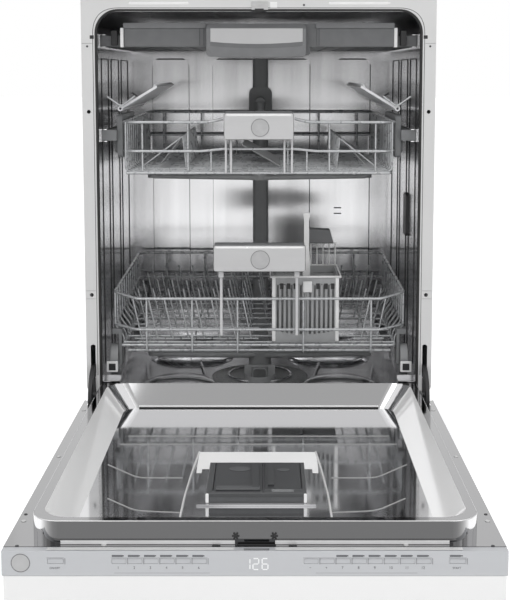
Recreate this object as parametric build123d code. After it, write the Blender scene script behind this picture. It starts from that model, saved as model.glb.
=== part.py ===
from build123d import *
import math
import os

# Built-in dishwasher, standing with its door open and its racks in.
# Millimetres, +Z up, +X to the right of someone facing the door, +Y into the cabinet.
# While it is drawn, Y = 0 is the front plane of the cabinet; write() moves the model so
# that its origin is the middle of its footprint on the floor.

# ---------------------------------------------------------------- driving dimensions
# Cabinet
BODY_WIDTH = 598.0
BODY_HEIGHT = 815.0
BODY_DEPTH = 552.0
SHEET = 1.2                 # frame and casing steel
FRAME_RETURN = 18.0         # how far the frame's edges fold back
FRAME_FOOT = 142.0          # lower end of the front flanges
FLANGE_CORNER = 8.0
FIXING_X = 288.0
FIXING_ZS = (626.0, 311.0)
FIXING_RADIUS = 3.25
BAR_SLOT = (118.0, 218.0)
BAR_SLOT_Z = 808.0
BAR_SLOT_HEIGHT = 4.0
WORKTOP_HOLE_X = 250.0
WORKTOP_HOLE_Y = 30.0
WORKTOP_HOLE_RADIUS = 2.75
FOLD_WIDTH = 20.0           # of the side panels' rear folds
CASING_FOOT = 60.0          # lower edge of side and rear panels

# Tub
TUB_WIDTH = BODY_WIDTH - 50.0
TUB_DEPTH = BODY_DEPTH - 52.0
TUB_TOP = BODY_HEIGHT - 19.0
TUB_SHEET = 1.0
TUB_CORNER = 38.0
TUB_MOUTH = 9.2             # the tub starts this far behind the front plane
LEDGE_Z = 162.4             # wheel ledge
STEP_Z = 156.5              # the ledge's lowered front end, which the closed door's rim enters
STEP_REAR = 31.0
BASIN_WIDTH = BODY_WIDTH - 112.0
BASIN_FLOOR = 108.0
BASIN_FRONT = 16.0
SILL_Z = 150.0
GROOVE_DEPTH = 4.0
GROOVE_TOP = 722.0
GROOVE_FOOT = 175.0
GROOVE_CORNER = 18.0
GROOVES = ((-228.0, -150.0), (-101.0, 105.0), (156.0, 232.0))

FIT = 0.2                   # gap between pieces that lie on each other
SEAM = 0.4                  # gap between neighbouring fixed pieces
GASKET_WIDTH = 3.8
GASKET_INSET = 1.5          # how far the gasket stands inside the tub wall

# Base
BASE_TOP = 95.0
BASE_FLOOR = 18.0
BASE_WALL = 3.0
BASE_FRONT = 46.0
BASE_GAP = 0.4              # to the casing, each side
FOOT_X = BODY_WIDTH / 2 - 44.0
FOOT_INSET = 24.0           # foot centre from the base's front and back
FOOT_RADIUS = 20.0
FOOT_PAD = 8.0
STUD_RADIUS = 5.0
STUD_TOP = 62.0
NUT_RADIUS = 9.0
NUT_HEIGHT = 6.0

# Water parts
SPRAY_Y = 258.0             # both spray arms turn about X = 0 here
SUMP_Y = 235.0
SUMP_HOLE = 92.0
SUMP_WALL = 2.5
SUMP_FLOOR = 50.0
SUMP_BOWL = 72.0
FILTER_Y = 198.0
FILTER_RADIUS = 30.0
FILTER_TOP = 122.0
FILTER_DEPTH = 48.0
FILTER_LOOP = 17.0
PLATE_SHEET = 1.5
PUMP_RADIUS = 36.0
PUMP_LENGTH = 112.0
PORT_Z = 68.0
PORT_RADIUS = 15.0
DRAIN_PORT = 12.0
PORT_REACH = 104.0
DRAIN_RADIUS = 21.0
DRAIN_LENGTH = 70.0
DRAIN_SPIGOT_RADIUS = 9.5
INLET_RADIUS = 13.2         # G 3/4 thread
INLET_X = -200.0
INLET_Z = 72.0
DRAIN_OUT_X = -130.0
GLAND_X = 200.0
GLAND_RADIUS = 4.2
GLAND_LENGTH = 14.0
PORT_BAY = 22.0             # free depth behind the base, where the hoses are fitted
PORT_PIN = 16.0             # length of the thread and of the spigot
PORT_COLLAR = 3.0
DUCT_WIDTH = 32.0
DUCT_DEPTH = 20.0
DUCT_TOP = 720.0
DOCK_WIDTH = 48.0
DOCK_HEIGHT = 62.0
DOCK_Z = 631.0
DOCK_RADIUS = 11.0
LOWER_ARM_Z = 142.0
LOWER_ARM_RADIUS = 218.0
UPPER_ARM_Z = 488.0
UPPER_ARM_RADIUS = 215.0
ARM_THICKNESS = 11.0
ARM_ROOT = 46.0
ARM_TIP = 26.0
HUB_RADIUS = 24.0
HUB_LIFT = 0.8
JET_RADIUS = 1.5

# Door
PIVOT_Y = 1.0
PIVOT_Z = 135.0
DOOR_TOP = 133.0            # upper face of the open door's flange
DOOR_THICK = 31.2           # from that face down to the furniture panel
DOOR_FRONT = -676.0
DOOR_REAR = 30.0
PANEL_THICK = 30.0
PANEL_WIDTH = BODY_WIDTH - 3.0
PANEL_BOARD = 12.0          # thickness of its board inside the frame
PANEL_FRAME = 40.0
PAN_WIDTH = BODY_WIDTH - 58.0
PAN_REAR = -23.0
PAN_FRONT = -657.0
RIM_HEIGHT = 29.0           # of the liner's rim above the flange
RIM_FLAT = 12.0
RIM_ROUND = 30.0            # plan width of the slope from the rim to the pan floor
REAR_SLOPE = 19.0
PAN_FLOOR = 123.0
PAN_CORNER = 34.0
RIM_CORNER_EASE = 4.0
RIM_REAR_CORNER = 10.0
RIM_EDGE = 1.0
LEVER_GATE = (-60.0, -30.0)
FASCIA_DEPTH = 12.0
FASCIA_WALL = 2.5
FASCIA_DROP = 0.5           # its top below the liner's flange
DOOR_SHEET = 0.8            # steel of the door's shell and liner
BOARD_THICK = 1.6
SCREW_RADIUS = 3.2
SCREW_HEAD = 0.7
SCREW_PLACES = ((291.0, -583.0), (291.0, -330.0), (291.0, -90.0), (180.0, -660.2))

# Keys
KEY_WIDTH = 16.4
KEY_HEIGHT = 5.4
KEY_DEPTH = 5.0
KEY_GAP = 0.35
KEY_Z = 120.0
KEY_PITCH = 19.0
PROGRAM_KEYS = 6
PROGRAM_FIRST_X = -160.2
OPTION_KEYS = 8
OPTION_FIRST_X = 66.4
POWER_X = -235.1
START_X = 239.2
WIDE_KEY = 18.5
LIGHT_WIDTH = 11.8
LIGHT_HEIGHT = 1.3
LIGHT_Z = 126.6
DISPLAY_X = 3.7
DISPLAY_Z = 116.6
DISPLAY_WIDTH = 30.0
DISPLAY_HEIGHT = 17.0
DISPLAY_THICK = 3.0

# Dispenser
DISPENSER_Y = -438.5
DISPENSER_LENGTH = 125.0
DISPENSER_WIDTH = 134.0
DISPENSER_COLLAR = 12.0     # width of the flange round the dispenser
DISPENSER_TOP = 140.0
DISPENSER_FLOOR = 106.0
DISPENSER_WALL = 2.4
LID_THICK = 4.0
LID_GAP = 0.5
DETERGENT_LID = (-58.0, 7.5)
RINSE_LID = (11.5, 61.0)
LID_Y = (-492.0, -382.0)
RINSE_LID_Y = (-484.0, -382.0)
RIDGE_HEIGHT = 2.5

# Latch
LATCH_X = 2.0
STRIKER_WIDTH = 26.0
STRIKER_REACH = 12.0
STRIKER_Z = BODY_HEIGHT - 9.0
LATCH_REAR = -642.0           # rear end of the catch, inside the door
STRIKER_THICK = 3.0
LATCH_CLEAR = 2.0
LATCH_WALL = 7.0
LATCH_FLOOR = 9.0

# Hinges
HINGE_X = BODY_WIDTH / 2 - 12.0
ARM_PLATE = 6.0
SLOT_WIDTH = 9.0
SLOT_FOOT = 165.0
SLOT_TOP = 224.0
EYE_RADIUS = 6.4
PIN_RADIUS = 3.0
PIN_FIT = 0.05
HINGE_LEG = 112.0
LEG_HEIGHT = 10.0
LEVER_RADIUS = 46.0
LEVER_WIDTH = 14.0
LEVER_TOE = 14.0
BRACKET_REAR = 56.0
BRACKET_FOOT = 118.0
SPRING_RADIUS = 8.0
SPRING_LENGTH = 210.0
SPRING_Z = 112.0
SPRING_LEAD = 45.0
SPRING_WIRE = 2.5
SPRING_HOOK = 2.0

# Racks
RACK_FRONT = 34.0
RACK_REAR = TUB_DEPTH - 28.0
RAIL_R = 2.5
WIRE_R = 1.9
TINE_R = 1.6
WELD = 0.1                  # gap at a welded crossing, so that wires only just miss

UPPER_WIDTH = 472.0
UPPER_TOP = 607.0
UPPER_MID = 558.0
UPPER_FLOOR = 518.0
UPPER_FRONT_WIRES = (-202.0, -123.0, -50.0, 50.0, 123.0, 202.0)
UPPER_CROSS = 14
CROSS_INSET = 26.0
LOWER_WIDTH = 516.0
LOWER_TOP = 298.0
LOWER_MID = 243.0
LOWER_FLOOR = 212.0
LOWER_FLOOR_WIDTH = 478.0
LOWER_FRONT_WIRES = (-198.0, -118.0, -38.0, 78.0, 198.0)
LOWER_CROSS = 13
LOWER_SIDE_WIRES = 11
TINE_HEIGHT = 78.0
LOWER_TINE_YS = (70.0, 160.0, 250.0, 340.0, 430.0)
TINE_PITCH = 28.0
TINES_PER_ROW = 16
LEAN_SPLIT = 60.0           # tines left of this lean to the left, the others to the right
SIDE_WIRE_Y = (90.0, 412.0)
TINE_LEAN = 16.0
UPPER_TINE = 46.0
UPPER_TINE_XS = (-123.0, 123.0)

WHEEL_RADIUS = 24.0
WHEEL_WIDTH = 14.0
WHEEL_X = TUB_WIDTH / 2 - 17.0
AXLE_RADIUS = 4.0
AXLE_FIT = 0.08
WHEEL_FRONT_Y = 66.0
WHEEL_REAR_Y = 436.0
WHEEL_GAP = 0.3             # wheel tread above the ledge

HANDLE_THICK = 3.0
UPPER_HANDLE = (-59.0, 59.0, 578.0, 623.0)
LOWER_HANDLE = (-78.0, 80.0, 344.0, 389.0)
TRAY_HANDLE = (-89.0, 80.0, 719.0, 775.0)
HANDLE_DEPTH = 20.0
HANDLE_POST = 7.0
HANDLE_SLOPE = 9.0          # the tray handle's top leans back by this, clear of the closed door

TRAY_WIDTH = 464.0
TRAY_TOP = 775.0
TRAY_SIDE_FLOOR = 736.0
TRAY_MID_FLOOR = 724.0
TRAY_MID_WIDTH = 176.0
TRAY_REAR = TUB_DEPTH - 20.0
TRAY_WALL = 2.0
TRAY_SLOT = 5.0
TRAY_RAIL_Z = 746.0
UPPER_RAIL_Z = 584.0
RAIL_DEPTH = TUB_DEPTH - 60.0
RAIL_HEIGHT = 22.0
RAIL_WALL = 1.5
RAIL_BOX = 11.0
RUNNER_GAP = 0.4

SHELF_HINGE_X = 240.0
SHELF_HINGE_Z = 630.0
SHELF_WIDTH = 74.0
SHELF_TILT = 31.0
SHELF_THICK = 4.0
SHELF_FRONT = 44.0
SHELF_REAR = TUB_DEPTH - 80.0
SHELF_SLOTS = 9
SHELF_SLOT = 5.0
SHELF_MARGIN = 32.0

BASKET_X = (23.0, 141.0)
BASKET_Y = (52.0, 178.0)
BASKET_FOOT = 216.4
BASKET_TOP = 333.0
BASKET_WALL = 2.4
BASKET_SLOTS = 10           # in each side
BASKET_SLOT = 5.0
BASKET_ARCH = 7.0           # how far the middle slots reach below the outer ones
BASKET_GRIP_TOP = 440.0
FENCE_X = (96.0, 141.0)     # the raised rack at the basket's back
FENCE_TOP = 378.0
FENCE_THICK = 3.0
FENCE_BARS = 5
BASKET_GRIP = (78.0, 93.0)

# ---------------------------------------------------------------- derived places
HALF = BODY_WIDTH / 2
TUB_HALF = TUB_WIDTH / 2
BASIN_HALF = BASIN_WIDTH / 2
GASKET_OUT = GASKET_WIDTH - GASKET_INSET         # how far the gasket stands outside the tub wall
MOUTH_HALF = TUB_HALF + GASKET_OUT + FIT         # inner edge of the front frame
MOUTH_TOP = TUB_TOP + GASKET_OUT + FIT
CASING_X = HALF - SHEET + 0.1                    # inner face of the side panels
BASE_HALF = CASING_X - BASE_GAP
BASE_REAR = BODY_DEPTH - PORT_BAY
PANEL_TOP = DOOR_TOP - DOOR_THICK
PAN_HALF = PAN_WIDTH / 2
RIM_Z = DOOR_TOP + RIM_HEIGHT
FASCIA_REAR = DOOR_FRONT + FASCIA_DEPTH
FOOT_YS = (BASE_FRONT + FOOT_INSET, BASE_REAR - FOOT_INSET)
WHEEL_Z = LEDGE_Z + WHEEL_GAP + WHEEL_RADIUS
UPPER_HALF = UPPER_WIDTH / 2
LOWER_HALF = LOWER_WIDTH / 2
ORIGIN_Y = (BODY_DEPTH + DOOR_FRONT) / 2         # middle of the footprint
LEG_Z = DOOR_TOP - DOOR_SHEET - FIT - LEG_HEIGHT / 2
BOARD_Y = DOOR_FRONT + 8.2
STRIKER_POCKET = PIVOT_Z - PIVOT_Y - STRIKER_REACH - 3.0   # floor of the catch's mouth
WINDOW_HALF = DISPENSER_WIDTH / 2 + SEAM         # of the liner's hole for the dispenser
WINDOW_Y = (DISPENSER_Y - DISPENSER_LENGTH / 2 - SEAM, DISPENSER_Y + DISPENSER_LENGTH / 2 + SEAM)


# ---------------------------------------------------------------- small helpers
def block(x, y, z):
    """A box between two corners, each range given as (low, high)."""
    size = (x[1] - x[0], y[1] - y[0], z[1] - z[0])
    middle = ((x[0] + x[1]) / 2, (y[0] + y[1]) / 2, (z[0] + z[1]) / 2)
    return Pos(*middle) * Box(*size)


def rod(start, end, radius):
    """A round bar between two points."""
    a, b = Vector(*start), Vector(*end)
    plane = Plane(origin=a, z_dir=b - a)
    return extrude(plane * Circle(radius), amount=(b - a).length)


def wire(points, radius, bend):
    """A bent wire through the points."""
    path = FilletPolyline(*points, radius=bend)
    start = Plane(origin=path @ 0, z_dir=path % 0)
    return sweep(start * Circle(radius), path=path)


def disc(centre, radius, thickness, axis=(0, 0, 1)):
    """A disc that starts at centre and grows along axis."""
    return extrude(Plane(origin=centre, z_dir=axis) * Circle(radius), amount=thickness)


def across(shape):
    """The shape and its mirror image on the other side of the centre plane."""
    return [shape, mirror(shape, about=Plane.YZ)]


def front_plate(sketch, y, depth):
    """A sketch drawn in X and Z, given depth along +Y from y."""
    plane = Plane(origin=(0, y, 0), x_dir=(1, 0, 0), z_dir=(0, -1, 0))
    return extrude(plane * sketch, amount=-depth)


def rect(x, z, corner=0.0):
    """A rectangle sketch between two corners, with rounded corners if asked."""
    width, height = x[1] - x[0], z[1] - z[0]
    shape = RectangleRounded(width, height, corner) if corner else Rectangle(width, height)
    return Pos((x[0] + x[1]) / 2, (z[0] + z[1]) / 2) * shape


def spread(first, last, count):
    """Evenly spaced values from first to last."""
    return [first + (last - first) * i / (count - 1) for i in range(count)]


def cut_all(shape, tools):
    """The shape without all the tools."""
    return shape - Compound(children=list(tools)) if tools else shape


# ---------------------------------------------------------------- cabinet
def mouth_sketch(half, top, foot, corner):
    """A tub opening's outline: straight sides, rounded top corners, open foot."""
    outline = rect((-half, half), (foot, top))
    tips = outline.vertices().sort_by(Axis.Y)[-2:]
    return fillet(tips, radius=corner)


def tub():
    def upper(grow, foot):
        wide = mouth_sketch(TUB_HALF + grow, TUB_TOP + grow, LEDGE_Z - grow, TUB_CORNER + grow)
        low = rect((-BASIN_HALF - grow, BASIN_HALF + grow), (foot, LEDGE_Z))
        return wide + low

    rear = TUB_DEPTH
    shell = front_plate(upper(TUB_SHEET, SILL_Z - TUB_SHEET), TUB_MOUTH, rear - TUB_MOUTH + TUB_SHEET)
    basin_x = (-BASIN_HALF, BASIN_HALF)
    shell += block((basin_x[0] - TUB_SHEET, basin_x[1] + TUB_SHEET),
                   (BASIN_FRONT - TUB_SHEET, rear + TUB_SHEET), (BASIN_FLOOR - TUB_SHEET, SILL_Z))
    shell += block((-TUB_HALF - TUB_SHEET, TUB_HALF + TUB_SHEET), (TUB_MOUTH, STEP_REAR + TUB_SHEET),
                   (STEP_Z - TUB_SHEET, LEDGE_Z))
    groove_z = (GROOVE_FOOT, GROOVE_TOP)
    for left, right in GROOVES:
        outer = rect((left - TUB_SHEET, right + TUB_SHEET),
                     (groove_z[0] - TUB_SHEET, groove_z[1] + TUB_SHEET), GROOVE_CORNER + TUB_SHEET)
        shell += front_plate(outer, rear, GROOVE_DEPTH + TUB_SHEET)
    shell -= front_plate(upper(0, SILL_Z), TUB_MOUTH - 1, rear - TUB_MOUTH + 1)
    shell -= block(basin_x, (BASIN_FRONT, rear), (BASIN_FLOOR, SILL_Z + 1))
    shell -= block((-TUB_HALF, TUB_HALF), (TUB_MOUTH - 1, STEP_REAR), (STEP_Z, LEDGE_Z + 1))
    for left, right in GROOVES:
        shell -= front_plate(rect((left, right), groove_z, GROOVE_CORNER), rear - 1, GROOVE_DEPTH + 1)
    shell -= disc((0, SUMP_Y, BASIN_FLOOR - 5), SUMP_HOLE, 10)
    return [shell]


def front_frame():
    flange = rect((-HALF, HALF), (FRAME_FOOT, BODY_HEIGHT))
    flange = fillet(flange.vertices().sort_by(Axis.Y)[:2], radius=FLANGE_CORNER)
    opening = mouth_sketch(MOUTH_HALF, MOUTH_TOP, FRAME_FOOT - 10, TUB_CORNER + GASKET_OUT + FIT)
    frame = front_plate(flange - opening, 0, SHEET)
    return_x = (CASING_X - 0.2 - SHEET, CASING_X - 0.2)
    for side in across(block(return_x, (SHEET / 2, FRAME_RETURN), (FRAME_FOOT + FLANGE_CORNER,
                                                                   BODY_HEIGHT - 2))):
        frame += side
    frame += block((-return_x[1], return_x[1]), (SHEET / 2, 3 * FRAME_RETURN),
                   (BODY_HEIGHT - SHEET, BODY_HEIGHT))
    cuts = []
    slot = Pos(HINGE_X, (SLOT_FOOT + SLOT_TOP) / 2) * Rot(0, 0, 90) * SlotOverall(SLOT_TOP - SLOT_FOOT,
                                                                                  SLOT_WIDTH)
    cuts += across(front_plate(slot, -1, SHEET + 2))
    for z in FIXING_ZS:
        cuts += across(disc((FIXING_X, -1, z), FIXING_RADIUS, SHEET + 2, (0, 1, 0)))
    bar_slot = Pos(sum(BAR_SLOT) / 2, BAR_SLOT_Z) * SlotOverall(BAR_SLOT[1] - BAR_SLOT[0], BAR_SLOT_HEIGHT)
    cuts += across(front_plate(bar_slot, -1, SHEET + 2))
    for x in (-WORKTOP_HOLE_X, WORKTOP_HOLE_X):
        cuts.append(disc((x, WORKTOP_HOLE_Y, BODY_HEIGHT - 5), WORKTOP_HOLE_RADIUS, 10))
    window = STRIKER_WIDTH / 2 + 1
    cuts.append(block((LATCH_X - window, LATCH_X + window), (-1, SHEET + 1),
                      (STRIKER_Z - STRIKER_THICK - 2, STRIKER_Z + STRIKER_THICK + 2)))
    return [cut_all(frame, cuts)]


def door_gasket():
    ring = mouth_sketch(TUB_HALF + GASKET_OUT, TUB_TOP + GASKET_OUT, FRAME_FOOT + 1, TUB_CORNER + GASKET_OUT)
    ring -= mouth_sketch(TUB_HALF - GASKET_INSET, TUB_TOP - GASKET_INSET, FRAME_FOOT - 10,
                         TUB_CORNER - GASKET_INSET)
    seal = front_plate(ring, SHEET / 4, TUB_MOUTH - SEAM - SHEET / 4)
    front_edges = seal.edges().group_by(Axis.Y)[0].filter_by(lambda e: e.length > GASKET_WIDTH * 2)
    return [fillet(front_edges, radius=1.2)]


def outer_panels():
    side = block((CASING_X, HALF), (SHEET + FIT, BODY_DEPTH), (CASING_FOOT, BODY_HEIGHT - 3))
    side -= block((CASING_X - 1, HALF + 1), (0, BASE_FRONT), (CASING_FOOT - 1, FRAME_FOOT + FLANGE_CORNER))
    fold = block((CASING_X - FOLD_WIDTH, CASING_X + 0.5), (BODY_DEPTH - SHEET, BODY_DEPTH),
                 (CASING_FOOT, BODY_HEIGHT - 3))
    rear_half = CASING_X - FOLD_WIDTH - SEAM
    rear = block((-rear_half, rear_half), (BODY_DEPTH - SHEET, BODY_DEPTH),
                 (BASE_TOP + SEAM, BODY_HEIGHT - 3))
    return across(side + fold) + [rear]


def base_tray():
    outer_x = (-BASE_HALF, BASE_HALF)
    tray = block(outer_x, (BASE_FRONT, BASE_REAR), (BASE_FLOOR, BASE_TOP))
    tray -= block((outer_x[0] + BASE_WALL, outer_x[1] - BASE_WALL),
                  (BASE_FRONT + BASE_WALL, BASE_REAR - BASE_WALL), (BASE_FLOOR + BASE_WALL, BASE_TOP + 1))
    feet = [(x, y) for x in (-FOOT_X, FOOT_X) for y in FOOT_YS]
    for x, y in feet:
        tray += disc((x, y, BASE_FLOOR), NUT_RADIUS + 2, STUD_TOP - BASE_FLOOR - 12)
    wall_y = BASE_REAR - BASE_WALL
    tray += disc((GLAND_X, wall_y, INLET_Z), GLAND_RADIUS + 4, GLAND_LENGTH, (0, 1, 0))
    cuts = [disc((x, y, BASE_FLOOR - 1), STUD_RADIUS + 0.3, STUD_TOP) for x, y in feet]
    cuts.append(disc((GLAND_X, wall_y - 1, INLET_Z), GLAND_RADIUS, GLAND_LENGTH + 2, (0, 1, 0)))
    cuts.append(disc((INLET_X, wall_y - 1, INLET_Z), INLET_RADIUS, BASE_WALL + 2, (0, 1, 0)))
    cuts.append(disc((DRAIN_OUT_X, wall_y - 1, INLET_Z), DRAIN_SPIGOT_RADIUS, BASE_WALL + 2, (0, 1, 0)))
    return [cut_all(tray, cuts)]


def levelling_feet():
    feet = []
    for x in (-FOOT_X, FOOT_X):
        for y in FOOT_YS:
            pad = disc((x, y, 0), FOOT_RADIUS, FOOT_PAD)
            pad = chamfer(pad.edges().group_by(Axis.Z)[-1], length=3)
            stud = disc((x, y, FOOT_PAD), STUD_RADIUS, STUD_TOP - FOOT_PAD)
            nut = Plane(origin=(x, y, BASE_FLOOR - NUT_HEIGHT)) * RegularPolygon(NUT_RADIUS, 6)
            feet.append(pad + stud + extrude(nut, amount=NUT_HEIGHT))
    return feet


def latch_striker():
    half = STRIKER_WIDTH / 2
    x = (LATCH_X - half, LATCH_X + half)
    z = (STRIKER_Z - STRIKER_THICK / 2, STRIKER_Z + STRIKER_THICK / 2)
    hook = block(x, (-STRIKER_REACH, 3 * SHEET + 6), z)
    hook -= block((x[0] + 6, x[1] - 6), (-STRIKER_REACH + 4, -2), (z[0] - 1, z[1] + 1))
    seat = block((x[0] - 8, x[1] + 8), (SHEET + 0.2, SHEET + 2.2),
                 (STRIKER_Z - 7, BODY_HEIGHT - SHEET - 0.2))
    return [hook + seat]


def arm_profile():
    """The hinge arm's side view in Y and Z: an eye on the pivot, a leg along the door and
    a curved lever that rises into the slot in the front flange."""
    eye = Pos(PIVOT_Y, PIVOT_Z) * Circle(EYE_RADIUS)
    leg = Pos(PIVOT_Y - HINGE_LEG / 2, LEG_Z) * Rectangle(HINGE_LEG, LEG_HEIGHT)
    lever_out = Pos(PIVOT_Y, PIVOT_Z) * Circle(LEVER_RADIUS + LEVER_WIDTH / 2)
    lever_in = Pos(PIVOT_Y, PIVOT_Z) * Circle(LEVER_RADIUS - LEVER_WIDTH / 2)
    reach = LEVER_RADIUS + LEVER_WIDTH
    sector = Polygon((PIVOT_Y - reach, LEG_Z), (PIVOT_Y, LEG_Z), (PIVOT_Y, PIVOT_Z),
                     (PIVOT_Y + LEVER_TOE, PIVOT_Z + reach), (PIVOT_Y - reach, PIVOT_Z + reach), align=None)
    lever = (lever_out - lever_in) & sector
    return eye + leg + lever


def side_plate(sketch, x, thickness):
    """A sketch drawn in Y and Z, given thickness along +X from x."""
    return extrude(Plane(origin=(x, 0, 0), x_dir=(0, 1, 0), z_dir=(1, 0, 0)) * sketch, amount=thickness)


def hinge_arms():
    arm = side_plate(arm_profile(), HINGE_X - ARM_PLATE / 2, ARM_PLATE)
    arm -= rod((HINGE_X - 10, PIVOT_Y, PIVOT_Z), (HINGE_X + 10, PIVOT_Y, PIVOT_Z), PIN_RADIUS + PIN_FIT)
    return across(arm)


def hinge_brackets():
    """A plate beside the arm, between the tub and the casing, with the pivot pin."""
    inner = HINGE_X - ARM_PLATE / 2 - 0.8
    plate_x = (inner - 2.5, inner)
    plate = block(plate_x, (PIVOT_Y - 10, BRACKET_REAR), (BRACKET_FOOT, FRAME_FOOT - 0.5))
    plate += block(plate_x, (SHEET + FIT, BRACKET_REAR), (BRACKET_FOOT, SLOT_TOP + 12))
    pin_start = (inner - 0.5, PIVOT_Y, PIVOT_Z)
    plate += rod(pin_start, (HINGE_X + ARM_PLATE / 2 + 3, PIVOT_Y, PIVOT_Z), PIN_RADIUS)
    plate += block((plate_x[0], BASE_HALF - 1), (BRACKET_REAR - 16, BRACKET_REAR),
                   (BASE_TOP + FIT, BRACKET_FOOT + 0.5))
    return across(plate)


def balance_springs():
    """The tension springs that balance the door, each hooked on its bracket and the base."""
    x, front = HINGE_X, BRACKET_REAR + SPRING_LEAD
    rear = front + SPRING_LENGTH
    body = rod((x, front, SPRING_Z), (x, rear, SPRING_Z), SPRING_RADIUS)
    body -= rod((x, front - 1, SPRING_Z), (x, rear + 1, SPRING_Z), SPRING_RADIUS - SPRING_WIRE)
    for end, step in ((front, 1), (rear, -1)):
        body += disc((x, end, SPRING_Z), SPRING_RADIUS, SPRING_WIRE * step, (0, 1, 0))
    hook_x, hook_y = BASE_HALF - BASE_WALL / 2, rear + SPRING_LEAD / 3
    body += rod((x, rear - 1, SPRING_Z), (x, hook_y, SPRING_Z), SPRING_HOOK)
    body += rod((x - SPRING_HOOK, hook_y, SPRING_Z), (hook_x + SPRING_HOOK, hook_y, SPRING_Z), SPRING_HOOK)
    body += rod((hook_x, hook_y, SPRING_Z), (hook_x, hook_y, BASE_TOP + FIT), SPRING_HOOK / 2)
    body += rod((x, BRACKET_REAR + FIT, SPRING_Z), (x, front + 1, SPRING_Z), SPRING_HOOK)
    return across(body)


# ---------------------------------------------------------------- water circuit
def sump():
    top = BASIN_FLOOR - TUB_SHEET - 0.3
    ledge = BASIN_FLOOR - PLATE_SHEET - 0.3
    outer = [(0, SUMP_FLOOR), (SUMP_BOWL, SUMP_FLOOR), (SUMP_HOLE - 4, ledge - 12),
             (SUMP_HOLE + 16, top - 3),
             (SUMP_HOLE + 16, top), (SUMP_HOLE - 0.6, top), (SUMP_HOLE - 0.6, ledge), (SUMP_HOLE - 9, ledge),
             (SUMP_HOLE - 9, ledge - 10), (SUMP_BOWL - SUMP_WALL, SUMP_FLOOR + SUMP_WALL),
             (0, SUMP_FLOOR + SUMP_WALL)]
    profile = Polygon(*outer, align=None)
    bowl = revolve(Plane(origin=(0, SUMP_Y, 0), x_dir=(1, 0, 0), z_dir=(0, -1, 0)) * profile,
                   Axis((0, SUMP_Y, 0), (0, 0, 1)))
    for sign, radius in ((1, PORT_RADIUS), (-1, DRAIN_PORT)):
        start = (sign * (SUMP_BOWL - 8), SUMP_Y, PORT_Z)
        end = (sign * PORT_REACH, SUMP_Y, PORT_Z)
        bowl += rod(start, end, radius)
        bowl -= rod((sign * (SUMP_BOWL - 20), SUMP_Y, PORT_Z), (sign * (PORT_REACH + 1), SUMP_Y,
                                                                PORT_Z), radius - 3)
    return [bowl]


def filter_plate():
    z = BASIN_FLOOR - PLATE_SHEET
    plate = disc((0, SUMP_Y, z), SUMP_HOLE - 1.2, PLATE_SHEET)
    plate -= disc((0, FILTER_Y, z - 1), FILTER_RADIUS + 0.6, PLATE_SHEET + 2)
    hub = disc((0, SPRAY_Y, z + PLATE_SHEET / 2), HUB_RADIUS - 2, LOWER_ARM_Z - HUB_LIFT - z)
    hub -= disc((0, SPRAY_Y, z + 4), HUB_RADIUS - 6, LOWER_ARM_Z)
    holes = []
    for ring in range(3):
        radius = 66 + 9 * ring
        count = 28 + 4 * ring
        for i in range(count):
            angle = 2 * math.pi * i / count
            x, y = radius * math.cos(angle), SUMP_Y + radius * math.sin(angle)
            if math.hypot(x, y - FILTER_Y) > FILTER_RADIUS + 6:
                holes.append(disc((x, y, z - 1), 2, PLATE_SHEET + 2))
    return [cut_all(plate, holes) + hub]


def filter_cup():
    cup = disc((0, FILTER_Y, FILTER_TOP - FILTER_DEPTH), FILTER_RADIUS, FILTER_DEPTH)
    cup -= disc((0, FILTER_Y, FILTER_TOP - FILTER_DEPTH + 2), FILTER_RADIUS - 2, FILTER_DEPTH)
    rim_z = BASIN_FLOOR + 0.3
    rim = disc((0, FILTER_Y, rim_z), FILTER_RADIUS + 5, 3)
    cup += rim - disc((0, FILTER_Y, rim_z - 1), FILTER_RADIUS - 1, 6)
    grip = block((-FILTER_RADIUS + 1, FILTER_RADIUS - 1), (FILTER_Y - 2, FILTER_Y + 2),
                 (FILTER_TOP - 6, FILTER_TOP + FILTER_LOOP))
    grip -= block((-FILTER_RADIUS + 14, FILTER_RADIUS - 14), (FILTER_Y - 3, FILTER_Y + 3),
                  (FILTER_TOP - 7, FILTER_TOP + FILTER_LOOP - 4))
    return [cup + grip]


def spray_arm(base_z, radius, lift):
    """A hollow-looking two-bladed arm about the hub, its blades rising by lift to the tips."""
    blades = []
    for sign in (-1, 1):
        root = Plane(origin=(0, SPRAY_Y, base_z + ARM_THICKNESS / 2), z_dir=(sign, 0, 0), x_dir=(0, 1, 0))
        tip_z = base_z + ARM_THICKNESS / 2 + lift
        tip = Plane(origin=(sign * (radius - ARM_TIP / 2), SPRAY_Y, tip_z), z_dir=(sign, 0, 0),
                    x_dir=(0, 1, 0))
        root_face = root * RectangleRounded(ARM_ROOT, ARM_THICKNESS, ARM_THICKNESS * 0.45)
        tip_face = tip * RectangleRounded(ARM_TIP, ARM_THICKNESS - 3, (ARM_THICKNESS - 3) * 0.45)
        blades.append(loft([root_face, tip_face]))
        blades.append(disc((sign * (radius - ARM_TIP / 2), SPRAY_Y,
                            tip_z - (ARM_THICKNESS - 3) / 2 + 1), ARM_TIP / 2, ARM_THICKNESS - 5))
    arm = blades[0] + blades[1] + blades[2] + blades[3]
    arm += disc((0, SPRAY_Y, base_z), HUB_RADIUS, ARM_THICKNESS + 2)
    return arm


def jets(arm, base_z, radius):
    """The arm with water jets drilled along the blades, a little off their middle line."""
    tools = []
    for sign in (-1, 1):
        for i, reach in enumerate(spread(50, radius - 20, 8)):
            y = SPRAY_Y + sign * (6 if i % 2 else -5)
            tools.append(disc((sign * reach, y, base_z + ARM_THICKNESS / 2 + 1), JET_RADIUS, ARM_THICKNESS))
    return cut_all(arm, tools)


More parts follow.
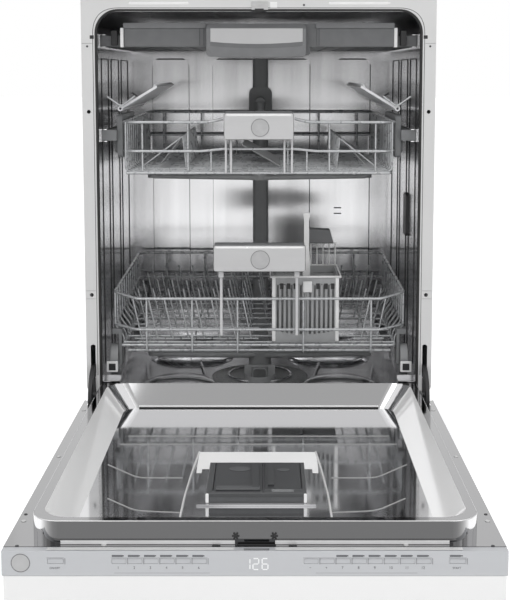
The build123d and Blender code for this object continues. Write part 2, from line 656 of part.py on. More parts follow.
def lower_spray_arm():
    arm = spray_arm(LOWER_ARM_Z, LOWER_ARM_RADIUS, 0)
    return [jets(arm, LOWER_ARM_Z, LOWER_ARM_RADIUS)]


def upper_spray_arm():
    arm = spray_arm(UPPER_ARM_Z, UPPER_ARM_RADIUS, 1)
    return [jets(arm, UPPER_ARM_Z, UPPER_ARM_RADIUS)]


def motor(start, sign, radius, length, snout):
    """A pump: motor can, wet end and the snout that meets the sump's port."""
    x, y, z = start
    body = rod((x + sign * 18, y, z), (x + sign * (18 + length), y, z), radius)
    body += rod((x + sign * 12, y, z), (x + sign * 34, y, z), radius + 3)
    body += rod((x, y, z), (x + sign * 14, y, z), snout)
    return body


def circulation_pump():
    start = (PORT_REACH + 0.3, SUMP_Y, PORT_Z)
    body = motor(start, 1, PUMP_RADIUS, PUMP_LENGTH, PORT_RADIUS)
    saddle_x = (PORT_REACH + 40, PORT_REACH + 100)
    body += block(saddle_x, (SUMP_Y - 20, SUMP_Y + 20), (BASE_FLOOR + BASE_WALL, PORT_Z - 20))
    return [body]


def drain_pump():
    start = (-PORT_REACH - 0.3, SUMP_Y, PORT_Z)
    body = motor(start, -1, DRAIN_RADIUS, DRAIN_LENGTH, DRAIN_PORT)
    saddle_x = (-PORT_REACH - 70, -PORT_REACH - 34)
    body += block(saddle_x, (SUMP_Y - 12, SUMP_Y + 12), (BASE_FLOOR + BASE_WALL, PORT_Z - 12))
    route = [(-PORT_REACH - 26, SUMP_Y, PORT_Z), (-PORT_REACH - 26, SUMP_Y + 120, PORT_Z),
             (DRAIN_OUT_X, SUMP_Y + 160, INLET_Z), (DRAIN_OUT_X, BASE_REAR + 1, INLET_Z)]
    body += wire(route, DRAIN_SPIGOT_RADIUS - SEAM, 18)
    return [body + hose_port(DRAIN_OUT_X, DRAIN_SPIGOT_RADIUS)]


def hose_port(x, radius):
    """The collar and the round end that a hose goes on, behind the base's rear wall."""
    port = disc((x, BASE_REAR + FIT, INLET_Z), radius + 3, PORT_COLLAR, (0, 1, 0))
    return port + disc((x, BASE_REAR + FIT, INLET_Z), radius, PORT_COLLAR + PORT_PIN, (0, 1, 0))


def inlet_valve():
    """The solenoid valve on the inlet, with its bored thread behind the base."""
    inside = BASE_REAR - BASE_WALL - 20
    body = rod((INLET_X, inside, INLET_Z), (INLET_X, BASE_REAR + 1, INLET_Z), INLET_RADIUS - SEAM)
    body += hose_port(INLET_X, INLET_RADIUS)
    body -= rod((INLET_X, inside + 5, INLET_Z), (INLET_X, BODY_DEPTH + 1, INLET_Z), INLET_RADIUS - 3)
    coil = block((INLET_X - 16, INLET_X + 16), (inside - 34, inside + 2),
                 (BASE_FLOOR + BASE_WALL + FIT, INLET_Z + 16))
    return [body + coil]


def water_duct():
    """The riser on the tub's back wall with the docking head of the upper rack."""
    rear = TUB_DEPTH + GROOVE_DEPTH - 0.3
    front = TUB_DEPTH - DUCT_DEPTH
    half = DUCT_WIDTH / 2
    riser = block((-half, half), (front, rear), (BASIN_FLOOR + 0.3 + 70, DUCT_TOP))
    riser = fillet(riser.edges().filter_by(Axis.Z).group_by(Axis.Y)[0], radius=7)
    foot = block((-half, half), (front, TUB_DEPTH - 0.3), (BASIN_FLOOR + 0.3, BASIN_FLOOR + 72))
    dock = rect((-DOCK_WIDTH / 2, DOCK_WIDTH / 2), (DOCK_Z - DOCK_HEIGHT / 2, DOCK_Z + DOCK_HEIGHT / 2), 14)
    riser += foot + front_plate(dock, front - 4, 12)
    riser -= disc((0, front - 10, DOCK_Z), DOCK_RADIUS, 20, (0, 1, 0))
    return [riser]


# ---------------------------------------------------------------- rails and runners
def channel(z, depth, front):
    """A C-shaped rail against the tub's right wall, its mouth to the middle."""
    wall = TUB_HALF - 0.3
    x = (wall - RAIL_BOX, wall)
    rail = block(x, (front, front + depth), (z - RAIL_HEIGHT / 2, z + RAIL_HEIGHT / 2))
    inner_z = (z - RAIL_HEIGHT / 2 + RAIL_WALL, z + RAIL_HEIGHT / 2 - RAIL_WALL)
    return rail - block((x[0] - 1, x[1] - RAIL_WALL), (front - 1, front + depth + 1), inner_z)


def rack_rails():
    front = RACK_FRONT + 2
    upper = channel(UPPER_RAIL_Z, RAIL_DEPTH, front)
    tray = channel(TRAY_RAIL_Z, RAIL_DEPTH, front)
    return across(upper) + across(tray)


def upper_runners():
    """The sliding members that carry the upper rack, each with its height adjuster."""
    wall = TUB_HALF - 0.3 - RAIL_WALL - RUNNER_GAP
    half = RAIL_HEIGHT / 2 - RAIL_WALL - RUNNER_GAP
    inner = UPPER_HALF + RAIL_R + 0.3
    front = RACK_FRONT + 6
    bar = block((inner + 8, wall), (front, RACK_REAR - 16), (UPPER_RAIL_Z - half, UPPER_RAIL_Z + half))
    plate = rect((front + 20, front + 210), (UPPER_MID - 14, UPPER_TOP + 12), 8)
    adjuster = extrude(Plane(origin=(inner, 0, 0), x_dir=(0, 1, 0), z_dir=(1, 0, 0)) * plate, amount=9)
    lever = rect((front + 30, front + 84), (UPPER_MID - 6, UPPER_MID + 16), 5)
    adjuster += extrude(Plane(origin=(inner + 8, 0, 0), x_dir=(0, 1, 0), z_dir=(1, 0, 0)) * lever, amount=6)
    return across(bar + adjuster)


# ---------------------------------------------------------------- racks
def rails(half, front, rear, z):
    """The four straight runs of a rack's rail at one height."""
    runs = [rod((-half - RAIL_R, y, z), (half + RAIL_R, y, z), RAIL_R) for y in (front, rear)]
    runs += [rod((x, front + RAIL_R + WELD, z), (x, rear - RAIL_R - WELD, z), RAIL_R) for x in (-half, half)]
    return runs


def upper_cross_ys():
    """Where the upper rack's cross wires lie."""
    return spread(RACK_FRONT + CROSS_INSET, RACK_REAR - CROSS_INSET, UPPER_CROSS)


def upper_rack():
    wires = []
    for z in (UPPER_TOP, UPPER_MID):
        wires += rails(UPPER_HALF, RACK_FRONT, RACK_REAR, z)
    step = RAIL_R + WIRE_R + WELD
    top, foot = UPPER_TOP + RAIL_R, UPPER_FLOOR - 2 * WIRE_R
    for x in UPPER_FRONT_WIRES:
        for y in (RACK_FRONT + step, RACK_REAR - step):
            wires.append(rod((x, y, foot), (x, y, top), WIRE_R))
        run = (RACK_FRONT + step + WIRE_R + WELD, RACK_REAR - step - WIRE_R - WELD)
        wires.append(rod((x, run[0], UPPER_FLOOR - WIRE_R), (x, run[1], UPPER_FLOOR - WIRE_R), WIRE_R))
    side = UPPER_HALF - step
    for y in upper_cross_ys():
        for x in (-side, side):
            wires.append(rod((x, y, UPPER_FLOOR), (x, y, top), WIRE_R))
        end = side - WIRE_R - WELD
        cross_z = UPPER_FLOOR + WIRE_R + WELD
        wires.append(rod((-end, y, cross_z), (end, y, cross_z), WIRE_R))
    base = UPPER_FLOOR + WELD + FIT
    for x in UPPER_TINE_XS:
        for low, high in zip(upper_cross_ys(), upper_cross_ys()[1:]):
            y = (low + high) / 2
            wires.append(rod((x, y, base), (x + 8, y, base + UPPER_TINE), TINE_R))
    return wires + shelf_pins()


def lower_side_wire(y):
    """One kinked side wire of the lower rack, from its top rail down to the floor."""
    x = LOWER_HALF - RAIL_R - WIRE_R - WELD
    foot_x = LOWER_FLOOR_WIDTH / 2 + WIRE_R + WELD
    points = [(x, y, LOWER_TOP + RAIL_R), (x, y, LOWER_MID - 8), (foot_x, y, LOWER_FLOOR + 8),
              (foot_x, y, LOWER_FLOOR - 3 * WIRE_R)]
    return wire(points, WIRE_R, 6)


def near_basket(x, y, margin):
    """Whether a place on the lower rack's floor lies under the basket or within margin of it."""
    beside = BASKET_X[0] - margin < x < BASKET_X[1] + margin
    return beside and y < BASKET_Y[1] + margin


def lower_rack():
    wires = []
    for z in (LOWER_TOP, LOWER_MID):
        wires += rails(LOWER_HALF, RACK_FRONT, RACK_REAR, z)
    step = RAIL_R + WIRE_R + WELD
    top, foot = LOWER_TOP + RAIL_R, LOWER_FLOOR - 2 * WIRE_R
    run = (RACK_FRONT + step + WIRE_R + WELD, RACK_REAR - step - WIRE_R - WELD)
    for x in LOWER_FRONT_WIRES:
        for y in (RACK_FRONT + step, RACK_REAR - step):
            wires.append(rod((x, y, foot), (x, y, top), WIRE_R))
        wires.append(rod((x, run[0], LOWER_FLOOR - WIRE_R), (x, run[1], LOWER_FLOOR - WIRE_R), WIRE_R))
    half_floor = LOWER_FLOOR_WIDTH / 2
    cross_z = LOWER_FLOOR + WIRE_R + WELD
    for y in spread(run[0] + 14, run[1] - 14, LOWER_CROSS):
        wires.append(rod((-half_floor, y, cross_z), (half_floor, y, cross_z), WIRE_R))
    for y in spread(*SIDE_WIRE_Y, LOWER_SIDE_WIRES):
        wires += across(lower_side_wire(y))
    return wires + lower_tines(cross_z + WIRE_R + WELD)


def lower_tines(base):
    """Rows of leaning tines, each standing on a bar of its own across the floor."""
    tines = []
    reach = TINE_PITCH * (TINES_PER_ROW - 1) / 2
    for y in LOWER_TINE_YS:
        for x in spread(-reach, reach, TINES_PER_ROW):
            if near_basket(x, y, TINE_LEAN):
                continue
            lean = -TINE_LEAN if x < LEAN_SPLIT else TINE_LEAN
            tines.append(rod((x, y, base + 2 * TINE_R + WELD), (x + lean, y, base + TINE_HEIGHT), TINE_R))
        left = -reach - TINE_R
        right = reach + TINE_R
        if near_basket(BASKET_X[0], y, TINE_LEAN):
            bars = ((left, BASKET_X[0] - 4), (BASKET_X[1] + 4, right))
        else:
            bars = ((left, right),)
        for start, end in bars:
            tines.append(rod((start, y, base + TINE_R), (end, y, base + TINE_R), TINE_R))
    return tines


def wheel(x, y):
    tyre = disc((x - WHEEL_WIDTH / 2, y, WHEEL_Z), WHEEL_RADIUS, WHEEL_WIDTH, (1, 0, 0))
    tyre = fillet(tyre.edges().filter_by(GeomType.CIRCLE), radius=2)
    return tyre - disc((x - WHEEL_WIDTH, y, WHEEL_Z), AXLE_RADIUS + AXLE_FIT, 2 * WHEEL_WIDTH, (1, 0, 0))


def front_wheels():
    return across(wheel(WHEEL_X, WHEEL_FRONT_Y))


def rear_wheels():
    return across(wheel(WHEEL_X, WHEEL_REAR_Y))


def wheel_carriers():
    """A plastic carrier for each wheel, hung on the lower rack's side rails, with its stub axle."""
    carriers = []
    inner = WHEEL_X - WHEEL_WIDTH / 2 - 1
    for y in (WHEEL_FRONT_Y, WHEEL_REAR_Y):
        plate = block((inner - 5, inner), (y - 13, y + 13), (WHEEL_Z - 10, LOWER_MID - RAIL_R - 0.3))
        plate += rod((inner - 1, y, WHEEL_Z), (WHEEL_X + WHEEL_WIDTH / 2 + 2, y, WHEEL_Z), AXLE_RADIUS)
        plate += block((inner - 5, LOWER_HALF + RAIL_R), (y - 13, y + 13),
                       (LOWER_MID - 12, LOWER_MID - RAIL_R - 0.3))
        carriers += across(plate)
    return carriers


# ---------------------------------------------------------------- handles
def handle(span, front):
    """A grip: a face plate with rounded corners and a hollow behind it for the fingers."""
    x, z = (span[0], span[1]), (span[2], span[3])
    body = front_plate(rect(x, z, 7), front, HANDLE_DEPTH)
    hollow = rect((x[0] + 6, x[1] - 6), (z[0] - 4, z[1] - 6))
    body -= front_plate(hollow, front + HANDLE_THICK, HANDLE_DEPTH - 2 * HANDLE_THICK)
    return body


def upper_handle():
    front = RACK_FRONT - RAIL_R - 0.3 - HANDLE_DEPTH
    return [handle(UPPER_HANDLE, front)]


def lower_handle():
    front = RACK_FRONT - RAIL_R - 0.3 - HANDLE_DEPTH
    grip = handle(LOWER_HANDLE, front)
    for x in (LOWER_HANDLE[0] + 8, LOWER_HANDLE[1] - 8):
        grip += block((x - HANDLE_POST / 2, x + HANDLE_POST / 2), (front + HANDLE_DEPTH - 6,
                                                                   front + HANDLE_DEPTH),
                      (LOWER_TOP - 6, LOWER_HANDLE[2] + 8))
    return [grip]


def tray_handle():
    front = RACK_FRONT - 0.3 - HANDLE_DEPTH
    left, right, _, top = TRAY_HANDLE
    slope = Polygon((front - 1, top - HANDLE_SLOPE - 1), (front + HANDLE_SLOPE + 1, top + 1),
                    (front - 1, top + 1), align=None)
    return [handle(TRAY_HANDLE, front) - side_plate(slope, left - 1, right - left + 2)]


# ---------------------------------------------------------------- cutlery tray
def cutlery_tray():
    half = TRAY_WIDTH / 2
    mid = TRAY_MID_WIDTH / 2
    y = (RACK_FRONT, TRAY_REAR)
    tray = block((-half, half), y, (TRAY_SIDE_FLOOR, TRAY_TOP)) + block((-mid, mid), y,
                                                                        (TRAY_MID_FLOOR, TRAY_TOP))
    inner_y = (y[0] + TRAY_WALL, y[1] - TRAY_WALL)
    cuts = [block((-mid + TRAY_WALL, mid - TRAY_WALL), inner_y, (TRAY_MID_FLOOR + TRAY_WALL, TRAY_TOP + 1))]
    for left, right in ((-half + TRAY_WALL, -mid - TRAY_WALL / 2), (mid + TRAY_WALL / 2, half - TRAY_WALL)):
        cuts.append(block((left, right), inner_y, (TRAY_SIDE_FLOOR + TRAY_WALL, TRAY_TOP + 1)))
    rows = spread(inner_y[0] + 26, inner_y[1] - 26, 9)
    for x in spread(-half + 24, half - 24, 15):
        for row in rows:
            cuts.append(block((x - TRAY_SLOT / 2, x + TRAY_SLOT / 2), (row - 18, row + 18),
                              (TRAY_MID_FLOOR - 1, TRAY_SIDE_FLOOR + TRAY_WALL + 1)))
    tray = cut_all(tray, cuts)
    wall = TUB_HALF - 0.3 - RAIL_WALL - RUNNER_GAP
    half_rail = RAIL_HEIGHT / 2 - RAIL_WALL - RUNNER_GAP
    for side in across(block((half - 0.5, wall), (y[0] + 14, y[1] - 6),
                             (TRAY_RAIL_Z - half_rail, TRAY_RAIL_Z + half_rail))):
        tray += side
    return [tray]


# ---------------------------------------------------------------- cup shelves
def cup_shelf():
    """A slotted shelf that hangs on the right side of the upper rack and tilts up inwards."""
    shelf = block((-SHELF_WIDTH, 0), (SHELF_FRONT, SHELF_REAR), (0, SHELF_THICK))
    cuts = []
    for y in spread(SHELF_FRONT + 30, SHELF_REAR - 30, SHELF_SLOTS):
        slot = Pos(-SHELF_WIDTH / 2, y) * SlotOverall(SHELF_WIDTH - SHELF_MARGIN, SHELF_SLOT)
        cuts.append(extrude(Plane(origin=(0, 0, -1)) * slot, amount=SHELF_THICK + 2))
    shelf = cut_all(shelf, cuts)
    shelf += rod((0, SHELF_FRONT, SHELF_THICK / 2), (0, SHELF_REAR, SHELF_THICK / 2), 4.5)
    shelf -= rod((0, SHELF_FRONT - 1, SHELF_THICK / 2), (0, SHELF_REAR + 1, SHELF_THICK / 2), 2.1)
    shelf = Pos(SHELF_HINGE_X, 0, SHELF_HINGE_Z) * Rot(0, SHELF_TILT, 0) * Pos(0, 0,
                                                                               -SHELF_THICK / 2) * shelf
    return shelf


def cup_shelf_right():
    return [cup_shelf()]


def cup_shelf_left():
    return [across(cup_shelf())[1]]


def shelf_pins():
    """The wires the shelves turn on, each bent down at both ends to the rack's top rail."""
    pins = []
    foot = UPPER_TOP + RAIL_R + 0.7
    points = [(UPPER_HALF - 1, SHELF_FRONT - 10, foot), (SHELF_HINGE_X, SHELF_FRONT - 10, SHELF_HINGE_Z),
              (SHELF_HINGE_X, SHELF_REAR + 10, SHELF_HINGE_Z), (UPPER_HALF - 1, SHELF_REAR + 10, foot)]
    pins += across(wire(points, 2.0, 4))
    return pins


def upper_feed_pipe():
    """The pipe that brings water from the docking head to the upper spray arm."""
    top = UPPER_FLOOR - FIT
    foot = UPPER_ARM_Z + ARM_THICKNESS + 2 + 0.8
    rear = TUB_DEPTH - DUCT_DEPTH - 4 - 1.0
    back = sum(upper_cross_ys()[-2:]) / 2
    pipe = block((-12, 12), (SPRAY_Y, back + 12), (foot, top))
    pipe += disc((0, SPRAY_Y, foot - 0.4), HUB_RADIUS - 4, top - foot + 0.4)
    pipe += rod((0, back, foot + 6), (0, back, DOCK_Z), 10)
    pipe += rod((0, back, DOCK_Z), (0, rear, DOCK_Z), 10)
    return [pipe]


# ---------------------------------------------------------------- cutlery basket
def cutlery_basket():
    z = (BASKET_FOOT, BASKET_TOP)
    x, y, w = BASKET_X, BASKET_Y, BASKET_WALL
    basket = block(x, y, z)
    mid = sum(x) / 2
    cells_y = spread(y[0], y[1], 4)
    for left, right in ((x[0] + w, mid - w / 2), (mid + w / 2, x[1] - w)):
        for low, high in zip(cells_y, cells_y[1:]):
            cell = block((left, right), (low + w, high - w / 2), (z[0] + w, z[1] + 1))
            basket -= cell
    cuts = []
    for slot_x in spread(x[0] + 11, x[1] - 11, BASKET_SLOTS):
        arch = BASKET_ARCH * (1 - ((slot_x - mid) / (mid - x[0])) ** 2)
        if abs(slot_x - mid) > BASKET_SLOT:
            cuts.append(block((slot_x - BASKET_SLOT / 2, slot_x + BASKET_SLOT / 2), (y[0] - 1, y[1] + 1),
                              (z[0] + 22 - arch, z[1] - 14)))
    for slot_y in spread(y[0] + 11, y[1] - 11, BASKET_SLOTS):
        for face in (x[0] - 1, x[1] - w - 1):
            cuts.append(block((face, face + w + 2), (slot_y - BASKET_SLOT / 2, slot_y + BASKET_SLOT / 2),
                              (z[0] + 18, z[1] - 14)))
    for slot_x in spread(x[0] + 14, x[1] - 14, 8):
        for slot_y in spread(y[0] + 14, y[1] - 14, 8):
            cuts.append(block((slot_x - 3, slot_x + 3), (slot_y - 3, slot_y + 3), (z[0] - 1, z[0] + w + 1)))
    basket = cut_all(basket, cuts)
    grip_y = (sum(y) / 2 - 2, sum(y) / 2 + 2)
    grip = block(BASKET_GRIP, grip_y, (z[0] + w - 0.5, BASKET_GRIP_TOP))
    fence = block(FENCE_X, (y[1] - FENCE_THICK, y[1]), (z[1] - 1, FENCE_TOP))
    bars = spread(FENCE_X[0], FENCE_X[1] - FENCE_THICK, FENCE_BARS)
    for left, right in zip(bars, bars[1:]):
        fence -= block((left + FENCE_THICK, right), (y[1] - FENCE_THICK - 1, y[1] + 1),
                       (z[1], FENCE_TOP - 18))
    return [basket + grip + fence]


# ---------------------------------------------------------------- door
def pan_loft(grow, floor):
    """The hollow of the liner's pan, narrowing from its rim to its floor."""
    top_half, low_half = PAN_HALF - RIM_FLAT + grow, PAN_HALF - RIM_FLAT - RIM_ROUND + grow
    top_y = (PAN_FRONT + RIM_FLAT - grow, PAN_REAR - 1.5 + grow)
    low_y = (PAN_FRONT + RIM_FLAT + RIM_ROUND - grow, PAN_REAR - REAR_SLOPE + grow)
    top = RectangleRounded(2 * top_half, top_y[1] - top_y[0], PAN_CORNER + grow)
    top = Pos(0, sum(top_y) / 2, RIM_Z + 0.01) * top
    low = RectangleRounded(2 * low_half, low_y[1] - low_y[0], PAN_CORNER - 8 + grow)
    low = Pos(0, sum(low_y) / 2, floor) * low
    return loft([low, top])


def rim_block(inset):
    """The liner's raised rim as a solid block, its front corners round enough for the tub."""
    block_x = (-PAN_HALF + inset, PAN_HALF - inset)
    rim = block(block_x, (PAN_FRONT + inset, PAN_REAR - inset), (DOOR_TOP - 2 * inset, RIM_Z - inset))
    front_edges = rim.edges().filter_by(Axis.Z).group_by(Axis.Y)[0]
    rim = fillet(front_edges, radius=TUB_CORNER - RIM_CORNER_EASE - inset)
    rear_edges = rim.edges().filter_by(Axis.Z).group_by(Axis.Y)[-1]
    return fillet(rear_edges, radius=RIM_REAR_CORNER - inset)


def door_liner():
    outer = rim_block(0)
    outer = fillet(outer.edges().group_by(Axis.Z)[-1], radius=RIM_EDGE)
    flange = block((-HALF, HALF), (FASCIA_REAR + SEAM, PAN_REAR), (DOOR_TOP - DOOR_SHEET, DOOR_TOP))
    pan = pan_loft(DOOR_SHEET, PAN_FLOOR - DOOR_SHEET)
    liner = outer + flange + pan
    liner -= rim_block(DOOR_SHEET) - pan
    liner -= pan_loft(0, PAN_FLOOR)
    slot = (HINGE_X - SLOT_WIDTH / 2, HINGE_X + SLOT_WIDTH / 2)
    through = (DOOR_TOP - 5, DOOR_TOP + 5)
    cuts = across(block(slot, LEVER_GATE, through))
    cuts += across(block((slot[0] - 5, HALF + 1), (PAN_REAR - 8, PAN_REAR + 1),
                         (DOOR_TOP - 5, DOOR_TOP + 1)))
    cuts.append(block((-WINDOW_HALF, WINDOW_HALF), WINDOW_Y, (PAN_FLOOR - 5, PAN_FLOOR + 1)))
    mouth = STRIKER_WIDTH / 2 + LATCH_CLEAR + 8
    cuts.append(block((LATCH_X - mouth, LATCH_X + mouth), (FASCIA_REAR, PAN_FRONT - 1),
                      (DOOR_TOP - 5, DOOR_TOP + 1)))
    return [cut_all(liner, cuts)]


def door_shell():
    x = (-HALF, HALF)
    wall_top = DOOR_TOP - DOOR_SHEET - 0.1
    plate = block(x, (FASCIA_REAR + SEAM, DOOR_REAR), (PANEL_TOP, PANEL_TOP + DOOR_SHEET))
    for side in across(block((HALF - DOOR_SHEET, HALF), (FASCIA_REAR + SEAM, PAN_REAR),
                             (PANEL_TOP, wall_top))):
        plate += side
    rear_wall = (PAN_REAR - DOOR_SHEET - 8.5, PAN_REAR - 8.5)
    plate += block(x, rear_wall, (PANEL_TOP, LEG_Z - LEG_HEIGHT / 2 - 0.6))
    return [plate]


def front_panel():
    """The furniture panel: a board with a thicker frame round its back."""
    half = PANEL_WIDTH / 2
    board = block((-half, half), (DOOR_FRONT, DOOR_REAR), (PANEL_TOP - PANEL_THICK, PANEL_TOP - 0.1))
    board = chamfer(board.edges().filter_by(Axis.Z), length=1.0)
    board -= block((PANEL_FRAME - half, half - PANEL_FRAME), (DOOR_FRONT + PANEL_FRAME,
                                                              DOOR_REAR - PANEL_FRAME),
                   (PANEL_TOP - PANEL_THICK + PANEL_BOARD, PANEL_TOP + 1))
    return [board]


def key_places():
    """Each key's name, centre and width along the control strip."""
    keys = [("power_key", POWER_X, WIDE_KEY)]
    keys += [(f"program_key_{i + 1}", PROGRAM_FIRST_X + i * KEY_PITCH,
              KEY_WIDTH) for i in range(PROGRAM_KEYS)]
    keys += [(f"option_key_{i + 1}", OPTION_FIRST_X + i * KEY_PITCH, KEY_WIDTH) for i in range(OPTION_KEYS)]
    keys.append(("start_key", START_X, WIDE_KEY))
    return keys


def light_places():
    """Centres of the indicator bars: one over each key but the power, minus and plus keys."""
    return [x for name, x, _ in key_places() if name not in ("power_key", "option_key_1", "option_key_2")]


def key_cap(x, width):
    span_x = (x - width / 2, x + width / 2)
    span_z = (KEY_Z - KEY_HEIGHT / 2, KEY_Z + KEY_HEIGHT / 2)
    cap = front_plate(rect(span_x, span_z, 0.8), DOOR_FRONT, KEY_DEPTH)
    skirt = rect((span_x[0] - 1.2, span_x[1] + 1.2), (span_z[0] - 1.0, span_z[1] + 1.0), 0.8)
    return cap + front_plate(skirt, DOOR_FRONT + FASCIA_WALL + 0.3, KEY_DEPTH - FASCIA_WALL - 0.3)


def control_fascia():
    z = (PANEL_TOP, DOOR_TOP - FASCIA_DROP)
    strip = block((-HALF, HALF), (DOOR_FRONT, FASCIA_REAR), z)
    strip = fillet(strip.edges().filter_by(Axis.X).group_by(Axis.Y)[0], radius=0.8)
    hollow_x = HALF - FASCIA_WALL
    strip -= block((-hollow_x, hollow_x), (DOOR_FRONT + FASCIA_WALL, FASCIA_REAR + 1),
                   (z[0] + FASCIA_WALL, z[1] - FASCIA_WALL))
    cuts = []
    for _, x, width in key_places():
        span = (x - width / 2 - KEY_GAP, x + width / 2 + KEY_GAP)
        gate = rect(span, (KEY_Z - KEY_HEIGHT / 2 - KEY_GAP, KEY_Z + KEY_HEIGHT / 2 + KEY_GAP), 0.8)
        cuts.append(front_plate(gate, DOOR_FRONT - 1, FASCIA_WALL + 2))
    for x in light_places():
        bar = rect((x - LIGHT_WIDTH / 2, x + LIGHT_WIDTH / 2), (LIGHT_Z - LIGHT_HEIGHT / 2,
                                                                LIGHT_Z + LIGHT_HEIGHT / 2))
        cuts.append(front_plate(bar, DOOR_FRONT - 1, FASCIA_WALL + 2))
    window = rect((DISPLAY_X - DISPLAY_WIDTH / 2, DISPLAY_X + DISPLAY_WIDTH / 2),
                  (DISPLAY_Z - DISPLAY_HEIGHT / 2, DISPLAY_Z + DISPLAY_HEIGHT / 2), 1.5)
    cuts.append(front_plate(window, DOOR_FRONT - 1, FASCIA_WALL + 2))
    mouth = STRIKER_WIDTH / 2 + LATCH_CLEAR
    mouth_y = striker_shadow()
    cuts.append(block((LATCH_X - mouth, LATCH_X + mouth), mouth_y, (z[1] - FASCIA_WALL - 1, z[1] + 1)))
    return [cut_all(strip, cuts)]


def striker_shadow():
    """Where the striker's height falls along the open door."""
    reach = PIVOT_Y + PIVOT_Z
    half = STRIKER_THICK / 2 + LATCH_CLEAR
    return (reach - STRIKER_Z - half, reach - STRIKER_Z + half)


def display_and_lights():
    """The display behind its window, and the light guides over the keys."""
    z = (DISPLAY_Z - DISPLAY_HEIGHT / 2 + 0.1, DISPLAY_Z + DISPLAY_HEIGHT / 2 - 0.1)
    x = (DISPLAY_X - DISPLAY_WIDTH / 2 + 0.1, DISPLAY_X + DISPLAY_WIDTH / 2 - 0.1)
    pieces = [front_plate(rect(x, z, 1.4), DOOR_FRONT + 0.1, DISPLAY_THICK)]
    for light in light_places():
        bar = rect((light - LIGHT_WIDTH / 2 + 0.1, light + LIGHT_WIDTH / 2 - 0.1),
                   (LIGHT_Z - LIGHT_HEIGHT / 2 + 0.1, LIGHT_Z + LIGHT_HEIGHT / 2 - 0.1))
        pieces.append(front_plate(bar, DOOR_FRONT + 0.1, BOARD_Y - DOOR_FRONT - 0.3))
    return pieces


def control_board():
    half = HALF - FASCIA_WALL - 6
    z = (PANEL_TOP + FASCIA_WALL + 2, DOOR_TOP - FASCIA_DROP - FASCIA_WALL - 1)
    board = block((-half, half), (BOARD_Y, BOARD_Y + BOARD_THICK), z)
    gap = STRIKER_WIDTH / 2 + LATCH_CLEAR + LATCH_WALL + SEAM
    board -= block((LATCH_X - gap, LATCH_X + gap), (BOARD_Y - 1, BOARD_Y + 5),
                   (STRIKER_POCKET - LATCH_FLOOR - SEAM, z[1] + 1))
    return [board] + display_and_lights()


def door_latch():
    """The catch: a case in the door's top edge whose mouth takes the striker."""
    mouth = STRIKER_WIDTH / 2 + LATCH_CLEAR
    case_x = (LATCH_X - mouth - LATCH_WALL, LATCH_X + mouth + LATCH_WALL)
    foot = STRIKER_POCKET - LATCH_FLOOR
    ceiling = DOOR_TOP - FASCIA_DROP - FASCIA_WALL - SEAM
    case = block(case_x, (DOOR_FRONT + DISPLAY_THICK + 2 * FIT, LATCH_REAR), (foot, ceiling))
    case += block(case_x, (FASCIA_REAR + SEAM + FIT, PAN_FRONT - LATCH_CLEAR), (foot, DOOR_TOP + SEAM))
    mouth_y = (DOOR_FRONT, striker_shadow()[1])
    case -= block((LATCH_X - mouth, LATCH_X + mouth), mouth_y, (STRIKER_POCKET, DOOR_TOP + 1))
    return [case]


def dispenser_housing():
    half = DISPENSER_WIDTH / 2
    y = (DISPENSER_Y - DISPENSER_LENGTH / 2, DISPENSER_Y + DISPENSER_LENGTH / 2)
    box = block((-half, half), y, (DISPENSER_FLOOR, DISPENSER_TOP))
    box = fillet(box.edges().group_by(Axis.Z)[-1], radius=2)
    collar = block((-half - DISPENSER_COLLAR, half + DISPENSER_COLLAR),
                   (y[0] - 4, y[1] + DISPENSER_COLLAR), (PAN_FLOOR + 0.1, PAN_FLOOR + 2.6))
    box += collar
    w = DISPENSER_WALL
    seat_z = DISPENSER_TOP - LID_THICK - LID_GAP
    lid_x = (DETERGENT_LID[0] - LID_GAP, DETERGENT_LID[1] + LID_GAP)
    box -= block(lid_x, (LID_Y[0] - LID_GAP, LID_Y[1] + LID_GAP), (seat_z, DISPENSER_TOP + 1))
    box -= block((lid_x[0] + w + 1, lid_x[1] - w - 1), (LID_Y[0] + w, LID_Y[1] - w),
                 (DISPENSER_FLOOR + w, seat_z + 1))
    rinse_x = (RINSE_LID[0] - LID_GAP, RINSE_LID[1] + LID_GAP)
    box -= block(rinse_x, (RINSE_LID_Y[0] - LID_GAP, RINSE_LID_Y[1] + LID_GAP), (seat_z, DISPENSER_TOP + 1))
    fill = Vector(sum(RINSE_LID) / 2, sum(RINSE_LID_Y) / 2, 0)
    box -= disc((fill.X, fill.Y, DISPENSER_FLOOR + w), 15, DISPENSER_TOP)
    return [box]


def lid(x, y, pin_x, ridge_x):
    """A lid whose rounded edge at pin_x turns in its seat, with a raised ridge to lift it by."""
    pin_z = DISPENSER_TOP - LID_THICK / 2
    side = sorted((pin_x, x[0] if pin_x > sum(x) / 2 else x[1]))
    plate = block(side, y, (DISPENSER_TOP - LID_THICK, DISPENSER_TOP))
    plate += block(ridge_x, (y[0] + 8, y[1] - 8), (DISPENSER_TOP - 1, DISPENSER_TOP + RIDGE_HEIGHT))
    return plate + rod((pin_x, y[0], pin_z), (pin_x, y[1], pin_z), LID_THICK / 2)


def detergent_lid():
    x = DETERGENT_LID
    return [lid(x, LID_Y, x[0] + LID_THICK / 2, (x[1] - 14, x[1] - 4))]


def rinse_aid_lid():
    x = RINSE_LID
    return [lid(x, RINSE_LID_Y, x[1] - LID_THICK / 2, (x[0] + 4, x[0] + 12))]


def liner_screws():
    screws = []
    for x, y in SCREW_PLACES:
        for side in (-1, 1):
            head = disc((side * x, y, DOOR_TOP + 0.05), SCREW_RADIUS, SCREW_HEAD)
            screws.append(fillet(head.edges().group_by(Axis.Z)[-1], radius=SCREW_HEAD / 2))
    return screws


